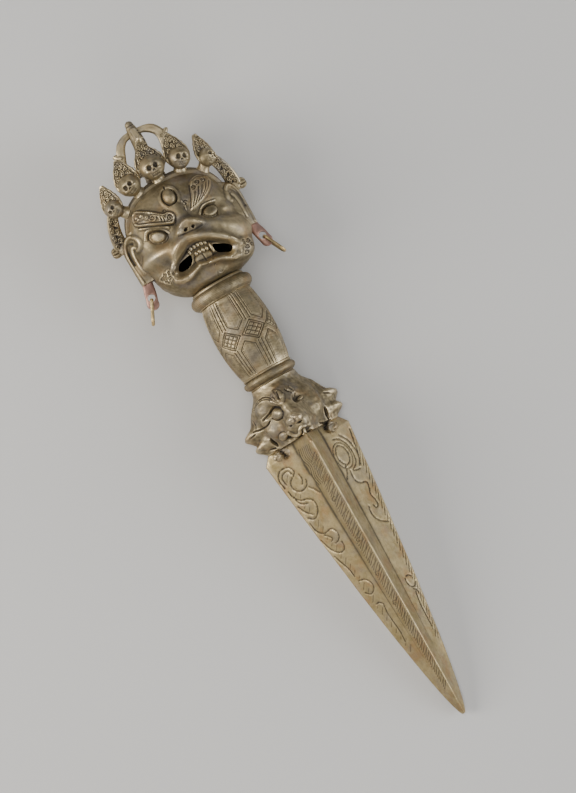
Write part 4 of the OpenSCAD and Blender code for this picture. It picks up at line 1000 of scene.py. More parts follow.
FACE = [
    # Eyes and their lids
    ("dome", (-14.5, 249.6), (8.4, 5.8), -2.3, -16, True),
    ("dome", (11.6, 248.6), (7.8, 5.2), -2.0, 4, True), ("dome", (-14.5, 249.7), (3.6, 2.6), 2.3, -18),
    ("dome", (11.9, 248.4), (3.5, 2.4), 2.1, -6),
    ("line", [(-19.4, 250.6), (-18, 252.9), (-15, 252.7), (-12, 251), (-10.3, 248.8)], 0.6, -0.9),
    ("line", [(-19.2, 250.2), (-18.2, 248.2), (-16, 246.8), (-13, 246.2), (-11, 247),
              (-10.3, 248.6)], 0.55, -0.6),
    ("line", [(-20.2, 251.2), (-18.2, 253.9), (-14.8, 253.7), (-11.4, 251.8), (-9.4, 249)], 1.0, 0.4),
    ("line", [(7.2, 248.4), (9, 250.4), (12, 250.9), (15.2, 250.3)], 0.6, -0.9),
    ("line", [(15.2, 250.2), (14.9, 247.6), (13.6, 245.2)], 0.6, -0.7),
    ("line", [(7.4, 248), (9, 246), (11.4, 245.1), (13.4, 245.2)], 0.5, -0.5),
    ("line", [(6.6, 249.4), (8.8, 251.6), (12, 252.1), (15.6, 251.5)], 0.9, 0.5),
    ("line", [(-19.6, 256.6), (-15, 254.9), (-11.4, 253.2), (-8.4, 251)], 1.4, 0.6),
    # Brow bones
    ("dome", (-12, 257.5), (11, 5), 1.2, -32, True), ("dome", (11.4, 257.5), (10.5, 5), 1.2, 32, True),
    # Nose: a wedge with wide wings
    ("line", [(-1.6, 256.4), (-1.4, 252.6), (-1.0, 249.6)], 5.0, 1.5),
    ("ridge", [(-5.4, 246.2), (-3.9, 248.4), (-1.5, 249.8), (1.1, 249.2), (3.1, 247.6),
               (4.6, 245.7)], 2.2, 1.8),
    ("dome", (-0.6, 247.2), (7, 5), 3.4, 0, True), ("dome", (-2.2, 246.1), (1.0, 0.6), -1.7, 8),
    ("dome", (1.1, 245.8), (0.75, 0.65), -1.7),
    ("line", [(-6, 245.2), (-4.4, 244.8), (-2, 244.6), (2, 244.3), (4.6, 244.5)], 0.8, -0.25),
    ("curl", (-6.4, 258.2), 1.3, 1.1, 200, 0.5, -0.3), ("curl", (3.5, 256.8), 1.3, 1.1, 20, 0.5, -0.3),
    ("line", [(-4.4, 258.6), (-3.2, 256.6), (-3, 254)], 0.8, 0.35),
    ("line", [(2.6, 258.4), (3, 256), (2.6, 254)], 0.7, 0.3),
    # Cheek bones, the hollows under them and the muzzle
    ("ridge", [(-29, 239), (-24, 241.4), (-18, 242.2), (-12.5, 242.2), (-8.4, 243.4),
               (-6, 245.6)], 5.2, 2.3),
    ("ridge", [(5.6, 246), (9, 242.8), (13, 240), (17, 237.6), (23, 233.6)], 7.4, 2.6),
    ("dome", (-17, 236.6), (9, 3.6), -1.0, 10, True), ("dome", (17.5, 243.6), (8, 3.2), -1.0, -22, True),
    ("dome", (-1, 241.4), (10.5, 5), 1.3, 0, True),
    ("ridge", [(-14.4, 234.4), (-12, 238), (-8.8, 240.8), (-5.2, 242.7), (-2, 242.5), (1.4, 241.5),
               (5.2, 239.4), (9, 236.6), (12, 233.6), (13.8, 230.6)], 3.3, 2.6),
    ("dome", (-18, 228.4), (9, 6), 1.2, 18, True), ("dome", (15.5, 226.6), (8.5, 6), 1.5, -14, True),
    # Mouth: its hollow, lips, tongue and teeth
    ("patch", [(-14.4, 232.6), (-12.4, 235.4), (-8, 237.8), (-4, 239.9), (0, 239.6), (4, 238), (8, 235.4),
               (12, 232), (12.5, 229.8), (10, 228), (7, 229), (4, 229.6), (0, 230), (-4, 230.7),
               (-7, 229.9), (-11, 229.2), (-14, 230.2)], -3.0, 0.8),
    ("ridge", [(-15.4, 229.4), (-13, 227.6), (-10, 227.7), (-7, 229), (-4.2, 229.8), (-1, 229.2),
               (3, 228.8), (6, 227.9), (9, 226.3), (11.6, 226.4)], 2.6, 1.9),
    ("line", [(-14.4, 236.2), (-16.6, 233.6), (-16.4, 231), (-14, 228.8), (-11.4, 228.2)], 0.8, 0.45),
    ("line", [(-13.6, 235.2), (-15.4, 233.2), (-15.2, 231.2), (-13.2, 229.5), (-10.6, 228.9)], 0.6, -0.35),
    ("line", [(12, 234.4), (13.7, 232.2), (13.9, 229.5), (12.6, 227), (10, 225.7)], 0.8, 0.45),
    ("line", [(11.2, 233.6), (12.7, 231.6), (12.8, 229.6), (11.6, 227.6), (9.2, 226.8)], 0.6, -0.35),
    ("dome", (-0.9, 231.7), (4.5, 2.7), 2.4), ("line", [(-0.8, 233.6), (-0.8, 230.2)], 0.5, -0.4),
    ("line", [(-5.2, 239), (-2, 239.7), (1, 239.2), (4, 237.6)], 0.9, 0.7),
    # Small beard and the curls at the corners of the mouth
    ("dome", (-2, 223.5), (9.5, 4.4), 1.2, 0, True),
    ("line", [(-12, 224), (-7, 225.2), (0, 225.4), (6, 224.2)], 3, -0.3),
    ("curl", (2, 226), 1.2, 1.2, 90, 0.5, -0.3), ("curl", (2.9, 223.9), 1.1, 1.2, 200, 0.5, -0.3),
    ("line", [(0.4, 226), (0.9, 224), (0.2, 222.2)], 0.5, -0.25),
    ("patch", [(-23.4, 232.8), (-18.4, 235), (-16.6, 233.2), (-17.6, 230.2), (-19.4, 229),
               (-22.4, 231.2)], 0.4, 0.5),
    ("curl", (-21.6, 232.3), 0.95, 1.3, 0, 0.45, -0.55),
    ("curl", (-19.9, 233.4), 0.95, 1.3, 120, 0.45, -0.55),
    ("curl", (-18, 233.6), 0.9, 1.2, 240, 0.45, -0.55), ("curl", (-20.2, 231.3), 1.0, 1.3, 60, 0.45, -0.5),
    ("curl", (-18.2, 231.6), 0.95, 1.3, 160, 0.45, -0.5),
    ("curl", (-19.2, 229.9), 0.8, 1.1, 300, 0.45, -0.5),
    ("patch", [(14.2, 231.4), (19.4, 230.8), (18.6, 228), (15.8, 225.8), (12.8, 225),
               (14.2, 228)], 0.15, 0.6),
    ("curl", (15.5, 230), 0.95, 1.3, 30, 0.45, -0.55), ("curl", (17.5, 229.8), 0.95, 1.2, 180, 0.45, -0.5),
    ("curl", (15.9, 228), 1.0, 1.4, 90, 0.45, -0.5), ("curl", (17.6, 227.9), 0.8, 1.1, 300, 0.45, -0.5),
    ("curl", (14.6, 226.2), 0.9, 1.2, 200, 0.45, -0.5),
    # Third eye
    ("dome", (-1.3, 262.4), (5.6, 6.2), 0.8, 0, True), ("dome", (-1.4, 262.5), (2.7, 3.3), 2.0),
    ("ring", (-1.4, 262.5), (3.1, 3.7), 0.7, -0.9), ("ring", (-1.3, 262.5), (4.2, 4.8), 1.4, 0.2),
    ("line", [(-1.5, 266.2), (-1.2, 267.7)], 0.7, -0.7),
    ("line", [(0.6, 267), (2.4, 265.4), (3, 263)], 0.7, 0.35),
    # Brows: the left one a band of curls, the right one like combed flames
    ("patch", [(-20, 261.6), (-17.6, 264.2), (-12, 260.9), (-7.6, 257.4), (-5.2, 257), (-3.4, 255),
               (-4.2, 252.3), (-5.8, 251.6), (-12, 254.4), (-19.6, 257.8), (-20.3, 259.8)], 1.3, 0.6),
    ("line", [(-17.8, 263.3), (-12.4, 260.1), (-7.8, 256.6), (-5.6, 256.2)], 0.5, -0.45),
    ("line", [(-19.9, 257.4), (-16, 255.7), (-12, 253.8), (-8, 252), (-5.6, 251)], 0.6, -0.7),
    ("line", [(-18.8, 258.5), (-15.6, 257.1), (-12, 255.5), (-8, 253.6)], 0.5, -0.4),
    ("patch", [(-19.3, 261.2), (-17.4, 263), (-12, 259.6), (-7.8, 256.2), (-5, 255.8), (-4.2, 254.2),
               (-5.8, 252.6), (-12, 255.5), (-19, 258.8)], -0.6, 0.25),
    ("curl", (-18, 260.6), 1.15, 1.1, 200, 0.62, 0.6), ("curl", (-15.9, 260.3), 1.15, 1.1, 200, 0.62, 0.6),
    ("curl", (-13.9, 259.1), 1.0, 1.1, 150, 0.6, 0.6), ("curl", (-11.7, 257.8), 1.6, 1.5, 180, 0.62, 0.65),
    ("line", [(-10, 257.9), (-9.3, 256.6), (-9.7, 255)], 0.55, 0.55),
    ("line", [(-9, 257.2), (-8.3, 255.8), (-8.6, 254.4)], 0.55, 0.55),
    ("line", [(-7.9, 256.4), (-7.3, 255), (-7.6, 253.8)], 0.55, 0.55),
    ("curl", (-5.6, 254.3), 1.5, 1.4, 100, 0.62, 0.6),
    ("patch", [(4.4, 252.6), (7, 258), (9.6, 263.4), (13.6, 264.8), (17, 262.4), (17.3, 258.6), (13, 255),
               (8, 252.9)], 1.0, 0.8),
    ("line", [(4.6, 253.6), (6.6, 257.2), (8.9, 262.6)], 0.6, -0.5),
    ("line", [(5.6, 253.5), (8.2, 256.8), (9.4, 258.6)], 0.45, -0.45),
    ("line", [(6.9, 253.7), (10, 257.2), (11.6, 259.6)], 0.45, -0.45),
    ("line", [(8.4, 254), (11.6, 257.2), (13, 259.4)], 0.45, -0.45),
    ("line", [(10, 254.6), (13, 257), (14.9, 259.6)], 0.45, -0.4),
    ("line", [(11.8, 255.2), (14.6, 257.2), (16.4, 259.8)], 0.45, -0.4),
    ("curl", (9.7, 260.9), 1.1, 1.3, 240, 0.5, -0.55), ("curl", (12, 262), 1.15, 1.3, 240, 0.5, -0.55),
    ("curl", (14.5, 261.5), 1.1, 1.3, 240, 0.5, -0.5),
    ("line", [(10.8, 263.6), (13.4, 264), (15.8, 262.8)], 0.45, -0.4),
]
# Place on the sheet and radius of each eyeball
EYEBALLS = ((-14.5, 249.7, 4.2), (11.9, 248.4, 4.0), (-1.4, 262.5, 3.6))
# The two openings of the mouth, and the depth, the middles and half sizes of the teeth
MOUTH = [
    [(-13.6, 232.2), (-12, 234.4), (-9, 235.3), (-6.1, 235.7), (-5.8, 233.8), (-7.6, 231.6),
     (-10.2, 230.7), (-12.8, 231)],
    [(4.9, 234.9), (7.4, 234), (10, 232.6), (12, 230.8), (12.1, 229.2), (10.2, 228.4), (7.8, 229.4),
     (5, 231.2)],
]
TEETH_DEPTH = 17.1
TEETH = [
    ((-4.5, 238), (1.0, 1.3)), ((-2.75, 238.2), (1.05, 1.35)), ((-1, 238.2), (1.05, 1.35)),
    ((0.75, 238), (1.05, 1.35)), ((2.4, 237.5), (0.95, 1.25)), ((-3.3, 234.9), (1.0, 1.1)),
    ((-1.6, 235), (1.0, 1.15)), ((0.1, 234.9), (1.0, 1.15)), ((1.8, 234.7), (0.95, 1.1)),
    ((4, 234.3), (0.8, 2.5)), ((-5.7, 236.9), (0.75, 1.5)),
]
EAR = [
    ("line", [(-30.2, 234.6), (-30.9, 240), (-31.2, 246), (-30.5, 251), (-28.6, 254.5), (-25.8, 255.6),
              (-23.5, 254.3), (-22.6, 251.8), (-23.4, 249.6), (-25, 248.7)], 1.8, 0.9),
    ("ridge", [(-29.2, 244), (-29.3, 248), (-28.6, 251), (-27.2, 252.8), (-25.8, 252.6)], 1.1, -1.0),
    ("line", [(-27.4, 238.6), (-28, 242), (-28.1, 246.6), (-27.4, 249.8), (-26.4, 250.8),
              (-25.4, 250)], 1.4, 0.5),
    ("dome", (-25.6, 244.6), (2.4, 4.6), -0.8, 0, True),
    ("line", [(27.2, 234.6), (27.6, 240), (27.5, 247), (26.5, 252), (24.6, 254.6), (22.6, 253.8),
              (21.3, 250.6), (22, 247.8)], 1.6, 0.9),
    ("ridge", [(26, 243), (25.9, 247), (25.3, 250.6), (24.3, 252.4)], 1.0, -0.9),
    ("line", [(24.6, 238), (24.8, 243), (24.4, 248), (23.6, 250.2)], 1.0, 0.5),
]


def head_grid():
    """Rings of the plain head, a squared dome over a rounder jaw, and the angle of each column"""
    low, high = math.asin(-JAW_CUT), math.asin(1 - 0.9 / HEAD_UP)
    lift = np.linspace(low, high, 236)
    z = Z_MID + np.where(lift > 0, HEAD_UP, HEAD_DOWN / JAW_CUT) * np.sin(lift)
    share = np.where(z > Z_MID, (z - Z_MID) / HEAD_UP, JAW_CUT * (Z_MID - z) / HEAD_DOWN)
    power = np.where(z > Z_MID, 2.5, 2.8)
    size = np.maximum(0, 1 - share ** power) ** (1 / power)
    # The columns stand closer together on the face than at the sides
    a = around(310)
    a = a - np.radians(34) * np.sin(a)
    x = HEAD_W * signed_pow(np.sin(a), 0.87)
    y = -np.where(np.cos(a) > 0, FACE_DEPTH, BACK_DEPTH) * signed_pow(np.cos(a), 0.87)
    return np.stack([size[:, None] * x, size[:, None] * y, np.repeat(z[:, None], len(a), 1)], -1), a


def shaft(name, outline, near, far):
    """A prism along the line of sight, from one depth in front of the axis to another"""
    line = curve(outline, 5, True)[:-1]
    start, end = (np.array([behind(u, v, depth) for u, v in line]) for depth in (far, near))
    return turned_out(solid(name, *tube(np.array([start + (end - start) * t for t in (0, 0.5, 1)]))))


def band_grid(inner, outer, rounding):
    """The crown band: rounded sections along the arch where the crown's plane cuts the dome"""
    edge, mid = BAND_W / 2, [(0.4, 0), (0.6, -0.3), (0.8, 0)]
    half = [*mid, (edge - rounding, 0), (edge - 0.3, -0.15), (edge, -rounding), (edge, inner - outer)]
    section = [(-side, outer + off) for side, off in half[::-1]] + [(side, outer + off) for side, off in half]
    rings = []
    for share in np.linspace(-1, 1, 170):
        ring = []
        for side, off in section:
            rx, rz = HEAD_W + off, BAND_RISE + off
            # The band ends 9 mm above the middle of the head, over the ears
            a = math.acos((9 / rz) ** 1.25) * share
            ring.append((rx * signed_pow(math.sin(a), 0.8), side, rz * math.cos(a) ** 0.8))
        rings.append(ring)
    return in_crown(np.array(rings))


def in_crown(points):
    """From the crown's leaning plane to the upright frame"""
    c, s = cos_sin(CROWN_LEAN)
    x, y, z = np.moveaxis(points, -1, 0)
    return np.stack([x, y * c - z * s, Z_MID + y * s + z * c], -1)


def behind_crown(points):
    """Distance behind the crown's leaning plane"""
    c, s = cos_sin(CROWN_LEAN)
    return points[..., 1] * c + (points[..., 2] - Z_MID) * s


def ear_piece(side):
    """An ear as rings round its thickness, from the lobe up, with its relief drawn on the front"""
    steps, blunt, top_reach = 46, EAR_T / 2, 21.6
    z = np.concatenate([np.linspace(Z_LOBE, Z_MID, 60, endpoint=False),
                        Z_MID + EAR_UP * np.sin(np.linspace(0, 1.56, 60))])
    lift = np.clip((z - Z_MID) / EAR_UP, 0, 1)
    outer = top_reach + (EAR_REACH - top_reach) * (1 - lift ** 2.5) ** 0.4
    outer = np.where(z < Z_MID, outer - 0.2 * (Z_MID - z) / (Z_MID - Z_LOBE), outer)
    across = np.sin(np.linspace(0, 1, steps) * math.pi / 2)
    rings = []
    for height, reach in zip(z, outer):
        width = max(0.3, reach - EAR_INNER)
        x = EAR_INNER + width * across
        thick = np.maximum(blunt * np.clip(1 - ((x - EAR_INNER) / width) ** 9, 0, 1) ** 0.5, 0.02)
        # The front slopes forward to the cheek, above the lobe
        slope = 0.66 * (EAR_REACH - x) * math.sqrt(thick.max() / blunt) * smooth((height - 231.5) / 9)
        front = np.stack([x, -EAR_FRONT - thick - slope * (thick / thick.max())], 1)
        ring = np.vstack([front, np.stack([x, -EAR_FRONT + thick], 1)[::-1]])
        rings.append(np.column_stack([ring, np.full(len(ring), height)]))
    grid = mirrored(np.array(rings), side)
    part = grid[:, steps:] if side < 0 else grid[:, :steps]
    relief = Relief(*seen(part))
    relief.draw(EAR)
    part[..., 1] -= np.clip(relief.height(1), -1.6, 1.1) * smooth((29.5 - np.abs(part[..., 0])) / 0.5)
    return solid("ear", *tube(grid))


def make_head(sizes):
    grid, a = head_grid()
    outward = normals_of(grid)
    relief = Relief(*seen(grid))
    relief.draw(FACE + EAR)
    facing = smooth((-outward[..., 1] - 0.02) / 0.3)
    top = smooth((Z_FLAT - 0.6 - grid[..., 2]) / 2)
    height = relief.height(1) * facing * top
    # The right side of the jaw is fuller than the left one
    jaw = ((grid[..., 0] - 19) / 8) ** 2 + ((grid[..., 1] + 7) / 10) ** 2 + ((grid[..., 2] - 225) / 8) ** 2
    height += 2.2 * np.exp(-jaw) * smooth((grid[..., 2] - Z_HEAD) / 3)
    # Hair, combed up from the nape in flowing locks over the back
    back = smooth((-np.cos(a) + 0.02) / 0.3)[None, :] * smooth((grid[..., 2] - 222) / 5) * top
    x, z = grid[..., 0], grid[..., 2]
    comb = x * (0.62 + 0.012 * (z - 220)) + 1.5 * np.sin(z * 0.23 + x * 0.12)
    height += back * (0.55 * np.abs(np.sin(comb * 1.25)) - 0.3 + 0.12 * np.sin(comb * 5))
    height += sizes.dents * (1.6 * lump(grid, 13, 21) + 0.35 * lump(grid, 2.2, 22)) * top
    # Behind the crown band the dome falls to the band's edge
    past = behind_crown(grid)
    height -= 1.3 * smooth((past + 2.6) / 0.6) * smooth((7.5 - past) / 5) * smooth((grid[..., 2] - 250) / 6)
    grid = grid + outward * height[..., None]
    # The back keeps the flat that it lies on
    head = solid("head", *tube(above_floor(grid)))
    teeth = []
    for (u, v), (w, tall) in TEETH:
        spot = behind(u, v, TEETH_DEPTH)
        profile = [(0.35, -tall), (0.8, -0.7 * tall), (1, 0), (0.9, 0.6 * tall), (0.3, tall)]
        tooth = turned([(w * r, h) for r, h in profile], 16)
        tooth[..., 1] *= 1.5
        teeth.append(solid("tooth", *tube(tooth + spot)))
    combine(head, [ear_piece(side) for side in (-1, 1)] + teeth, "UNION")
    z_dome, opening = Z_WASHER + 25.5, 5.6
    hollow = [(HOLLOW, Z_WASHER), *arc(0, z_dome, HOLLOW, 0, 62, 14),
              (opening, z_dome + 12.3), (opening, Z_FLAT + 2)]
    tools = [solid("hollow", *tube(turned(hollow, 120))),
             solid("bore", *tube(turned([(BORE, Z_HEAD - 1), (BORE, Z_WASHER + 1)], 64))),
             solid("groove", *tube(band_grid(BAND_IN, 4, 0.01)))]
    tools += [shaft("mouth", outline, 32, 3) for outline in MOUTH]
    combine(head, tools, "DIFFERENCE")

    def sheltered(points):
        """Where hands don't rub: the dome where it runs under the crown band and, by half, the eyeballs"""
        past = behind_crown(points)
        shelter = smooth((past + 3.4) / 0.8) * smooth((6 - past) / 2) * smooth((points[:, 2] - 246) / 4)
        sheet_u, sheet_v = seen(points)
        for u, v, r in EYEBALLS:
            off = np.hypot(sheet_u - u, sheet_v - v) / r
            shelter = np.maximum(shelter, 0.55 * smooth((1.2 - off) / 0.4) * (points[:, 1] < 0))
        return shelter

    settle(head, "head_carved", "head_shell", "cast_brass", soft=2.6, calm=sheltered)


# Crown

def flat_piece(left, right, depth, steps, drawing):
    """A leaf between two edges of x and z, low to high, with a rounded rim and a drawn front"""
    u = np.linspace(-1, 1, steps)
    rim = depth / 2 * np.sqrt(np.clip(1 - np.abs(u) ** 7, 0, 1))
    rings = []
    for (xa, za), (xb, zb) in zip(left, right):
        x, z = xa + (xb - xa) * (u + 1) / 2, za + (zb - za) * (u + 1) / 2
        rings.append(np.vstack([np.stack([x, -rim, z], 1), np.stack([x, rim, z], 1)[::-1][1:-1]]))
    grid = np.array(rings)
    front = grid[:, :steps]
    relief = Relief(front[..., 0], front[..., 2])
    drawing(relief)
    front[..., 1] -= relief.height(1) * smooth((1 - np.abs(u)) / 0.12)
    return grid


def leaf_drawing(half, high, seed):
    """Scrolls and dots that fill a leaf, larger at its foot"""
    rng = np.random.default_rng(seed)

    def draw(relief):
        wide = [(x * half, z * high) for x, z in ((0.8, 0.1), (0.78, 0.34), (0.58, 0.6), (0.3, 0.8))]
        relief.patch([(-x, z) for x, z in wide] + [(0, 0.92 * high)] + wide[::-1], -0.45, 0.3)
        for row, share in enumerate(np.arange(0.26, 0.84, 0.125)):
            room = 0.72 * half * math.cos(math.radians(90 * max(0, share - 0.1)))
            count = max(1, round(room / 1.15))
            for k in range(count):
                x, z = room * (2 * (k + 0.5) / count - 1), (share + 0.02 * (-1) ** (k + row)) * high
                relief.curl((x, z), 0.95, 1.1, rng.uniform(60, 300), 0.55, 0.5, 1 if x < 0 else -1)

    return draw


def skull(r, seed):
    """A small skull that looks to -Y: a round cranium with two sockets, a nose hole and bared teeth"""
    ll, tt = np.meshgrid(np.radians(np.linspace(-86, 86, 96)), around(120), indexing="ij")
    x, y, z = np.cos(ll) * np.sin(tt), -np.cos(ll) * np.cos(tt), np.sin(ll)
    narrow = 1 - 0.12 * smooth((-z - 0.25) / 0.75)
    grid = np.stack([x * narrow, y * (1 - 0.08 * smooth(-z)), z * np.where(z > 0, 0.98, 1.04)], -1) * r
    relief = Relief(grid[..., 0] / r, grid[..., 2] / r)
    # Sizes are shares of the radius: the brow, the sockets, the cheek bones, the nose and the jaws
    relief.dome((0, 0.16), (0.66, 0.24), 0.05, 0, True)
    for way in (-1, 1):
        relief.dome((0.3 * way, -0.08), (0.25, 0.25), -0.215)
        relief.dome((0.5 * way, -0.36), (0.26, 0.16), 0.06, 0, True)
        relief.dome((0.055 * way, -0.38), (0.06, 0.1), -0.07, 14 * way)
    relief.line([(-0.34, -0.57), (0, -0.6), (0.34, -0.57)], 0.05, -0.04)
    relief.line([(-0.3, -0.78), (0, -0.82), (0.3, -0.78)], 0.05, -0.04)
    for k in range(-3, 4):
        relief.line([(k * 0.1, -0.58), (k * 0.09, -0.8)], 0.05, -0.04)
    facing = smooth((-y - 0.05) / 0.3)
    grid = grid * (1 + relief.height(1) * facing)[..., None]
    grid[..., 1] = np.minimum(grid[..., 1], 0.42 * r)
    return grid + 0.012 * r * lump(grid, 0.9 * r, seed)[..., None]


def turned_by(points, angle, axis):
    """Points turned round the upright axis or the axis that looks out of the face"""
    c, s = cos_sin(angle)
    x, y, z = np.moveaxis(points, -1, 0)
    if axis == "Z":
        return np.stack([x * c - y * s, x * s + y * c, z], -1)
    return np.stack([x * c + z * s, y, -x * s + z * c], -1)


# The outer plaques have been bent forward, each by its own amount: the turns of its skull and its leaf
BENT_PLAQUES = {1: (24, 30), 5: (48, 36)}
# Radius round the axis in which the finial's prongs stand free
PRONG_ROOM = 12.95


def make_plaque(i, side):
    """A plaque of the crown: i counts from the middle outwards, side is -1 on the left and 1 on the right"""
    r, reach, high, index = SKULL_R[i], SKULL_REACH[i], LEAF_H[i], 3 + side * i
    angle = side * SKULL_ANGLE[i]

    def up(distance):
        return in_crown(turned_by(np.array([0, 0, distance], float), angle, "Y"))

    share = np.linspace(0, 1, 90)
    slim = 1.7 if i == 0 else 1.15
    half = 0.9 + (1.2 * r - 0.9) * np.cos(np.pi / 2 * np.clip((share - 0.2) / 0.8, 0, 1)) ** slim
    # The rim of the leaf is cut into lobes of flame
    half = half * (1 - 0.07 * np.abs(np.sin(share * 14)) * smooth((share - 0.25) * 6))
    half = np.concatenate([[0.7 * r, 1.02 * r], half])
    z = np.concatenate([[-0.75 * r, -0.4 * r], high * share])
    drawing = leaf_drawing(1.2 * r, high, index)
    leaf = flat_piece(np.stack([-half, z], 1), np.stack([half, z], 1), 1.9, 64, drawing)
    leaf[..., 1] += 0.42 * r - 1.0
    bone = turned_by(skull(r, 30 + index), 0.8 * angle, "Y")
    skull_turn, leaf_turn = BENT_PLAQUES.get(index, (PLAQUE_TURN[i],) * 2)
    # The foot flares at both ends, from just inside the band up into the skull
    foot_r, rise = min(0.56 * r, 2.5), np.linspace(0, 1, 14)
    seat = squared_reach(angle, HEAD_W + BAND_OUT, BAND_RISE + BAND_OUT) - 0.4
    foot = turned(np.stack([foot_r * (1 + 0.3 * (1 - rise) ** 3 + 0.3 * rise ** 3),
                            seat + (reach - 0.5 * r - seat) * rise], 1), 40)
    parts = (turned_by(bone, side * skull_turn, "Z") + up(reach - 0.7),
             turned_by(leaf, side * leaf_turn, "Z") + up(reach), in_crown(turned_by(foot, angle, "Y")))
    plaque, *others = (solid("plaque", *tube(part)) for part in parts)
    combine(plaque, others, "UNION")
    if i == 0:
        # The middle leaf keeps clear of the finial's prongs
        room = solid("room", *tube(turned([(PRONG_ROOM, Z_PLATE - 2), (PRONG_ROOM, Z_TOP + 4)], 160)))
        combine(plaque, [room], "DIFFERENCE")
    name = f"skull_plaque_{index}"
    settle(plaque, name + "_carved", name, "crown_brass", soft=1.7)


def make_crown(sizes):
    grid = dented(band_grid(BAND_IN, BAND_OUT, 0.55), sizes.dents, 7, 40)
    band = turned_out(solid("band", *tube(grid)))
    settle(band, "crown_band_shaped", "crown_band", "cast_brass", dull=0.3, calm=lambda points: 0.8)
    for i, side in ((0, 1), (1, -1), (1, 1), (2, -1), (2, 1)):
        make_plaque(i, side)


# Heights over the head's middle at which a rosette sits and, in the crown's plane, a crescent begins
ROSETTE_UP, CRESCENT_UP = 5.3, 6.9


def make_ear_leaves():
    """The crescents over the ears and the ribbed rosettes beside them"""
    t = np.linspace(0, 1, 110)
    foot = CRESCENT_UP
    high = SKULL_REACH[2] * math.cos(math.radians(SKULL_ANGLE[2])) - foot

    def drawing(relief):
        rng = np.random.default_rng(50)
        for k in range(8):
            z = foot + 1.6 + k * 2.05
            x = 28.7 - 5.2 * ((z - foot) / high) ** 2.2
            relief.dome((x, z), (2.3, 1.3), -0.45, 0, True)
            place = (x + 1.1 * (-1) ** k, z)
            relief.curl(place, 1.05, 1.2, rng.uniform(0, 360), 0.55, 0.45, rng.choice((-1, 1)))
            relief.curl((x - 1.2 * (-1) ** k, z + 0.7), 0.85, 1.1, rng.uniform(0, 360), 0.5, 0.4)

    for side, name in SIDES:
        z = foot + high * t
        outer = np.stack([31.9 - 5.2 * t ** 2.2, z], 1)
        inner = np.stack([outer[:, 0] - 6.6 * (1 - 0.2 * t), z], 1)
        keep = t < 0.93
        grid = in_crown(flat_piece(inner[keep], outer[keep], 2, 40, drawing))
        leaf = solid("leaf", *tube(mirrored(grid, side)))
        settle(leaf, f"side_leaf_{name}_engraved", f"side_leaf_{name}", "crown_brass")

    # A rosette's profile goes outwards from the ear, over its rounded end
    dome_r, length = 2.3, 4.4
    profile = [(dome_r, -0.9), (dome_r, 0.5), (2.15, 0.8)]
    profile += [(2.55 * math.cos(v) ** 0.7, length - dome_r + dome_r * math.sin(v))
                for v in np.radians(np.arange(-18, 87, 4))]
    for side, name in SIDES:
        body = turned([(r, EAR_REACH + z) for r, z in profile], 140)
        # Ribs run over the rounded end and meet at its middle
        turn = np.arctan2(body[..., 0], -body[..., 1])
        away = np.linalg.norm(body[..., :2], axis=-1)
        ends = smooth((body[..., 2] - EAR_REACH - 0.7) / 0.6) * smooth(away / 0.8)
        body[..., :2] *= (1 - 0.24 * np.abs(np.sin(4 * turn)) ** 4 * ends)[..., None]
        core = solid("rosette", *tube(body))
        core.data.transform(Matrix.Rotation(math.radians(90 * side), 4, "Y"))
        core.data.transform(Matrix.Translation((0, -EAR_FRONT, Z_MID + ROSETTE_UP)))
        settle(core, f"rosette_{name}_ribbed", f"rosette_{name}", "turned_brass")


# Finial

def prong_grid():
    """One prong as sections along its arch, from the plate up to the spike"""
    a = np.radians(np.linspace(0, 90, 64))

    def edge(reach, rise, low_x, high_x):
        arch = np.stack([1.7 + reach * np.cos(a) ** (2 / 2.6), Z_PRONG + rise * np.sin(a) ** (2 / 2.6)], 1)
        return np.vstack([[low_x, Z_PLATE + 0.4], [high_x, Z_PLATE + 1.2], arch])

    outer, inner = edge(11.4, 17.6, 11.6, 12.3), edge(6.9, 14.6, 7.6, 8.2)
    ring = around(32)
    sections = []
    for k, (o, i) in enumerate(zip(outer, inner)):
        middle, half = (o + i) / 2, (o - i) / 2
        thick = 1.55 * (1 - 0.25 * k / len(outer))
        along = signed_pow(np.cos(ring), 0.55)
        x = middle[0] + half[0] * along
        z = middle[1] + half[1] * along
        sections.append(np.stack([x, thick * signed_pow(np.sin(ring), 0.6), z], 1))
    return np.array(sections)


def spur_grid():
    """The barb that stands out of a prong's shoulder"""
    path = ((9.9, 287.9, 1.8), (11.1, 288.9, 1.7), (12.2, 290.0, 1.35), (12.8, 290.7, 0.8))
    ring = around(16)
    return np.array([np.stack([x + r * np.cos(ring), r * np.sin(ring), z - 0.35 * r * np.cos(ring)], 1)
                     for x, z, r in path])


def bent(points):
    """Points bent with the finial: a little to the right, and its right prong the most"""
    points = np.array(points, float)
    points[..., 0] += (1.3 + 0.9 * smooth((points[..., 0] - 4) / 4)) * smooth((points[..., 2] - 281) / 10)
    return points


# The finial's stem from the knot over the plate up to the spike, in radius and height
STEM = [
    (2.4, Z_KNOT - 5), (2.4, Z_KNOT), (4.4, Z_KNOT), (4.6, 275.4), (3.5, 275.9), (3.7, 276.4),
    (4.3, 276.6), (6.6, 276.9), (8.3, Z_PLATE), (8.9, 277.9), (9, 278.4), (8.7, 278.9), (8, Z_PRONG),
    (4.2, 279.5), (3.3, 280.4), (3.1, 281.6), (3.25, 284), (3.3, 287), (3.1, 290), (2.95, 293),
    (2.7, 295.4), (2.35, 297.4), (2.2, 298.4), (1.95, 298.9), (1.95, 299.4), *arc(0, 299.6, 1.9, 0, 80, 10),
]


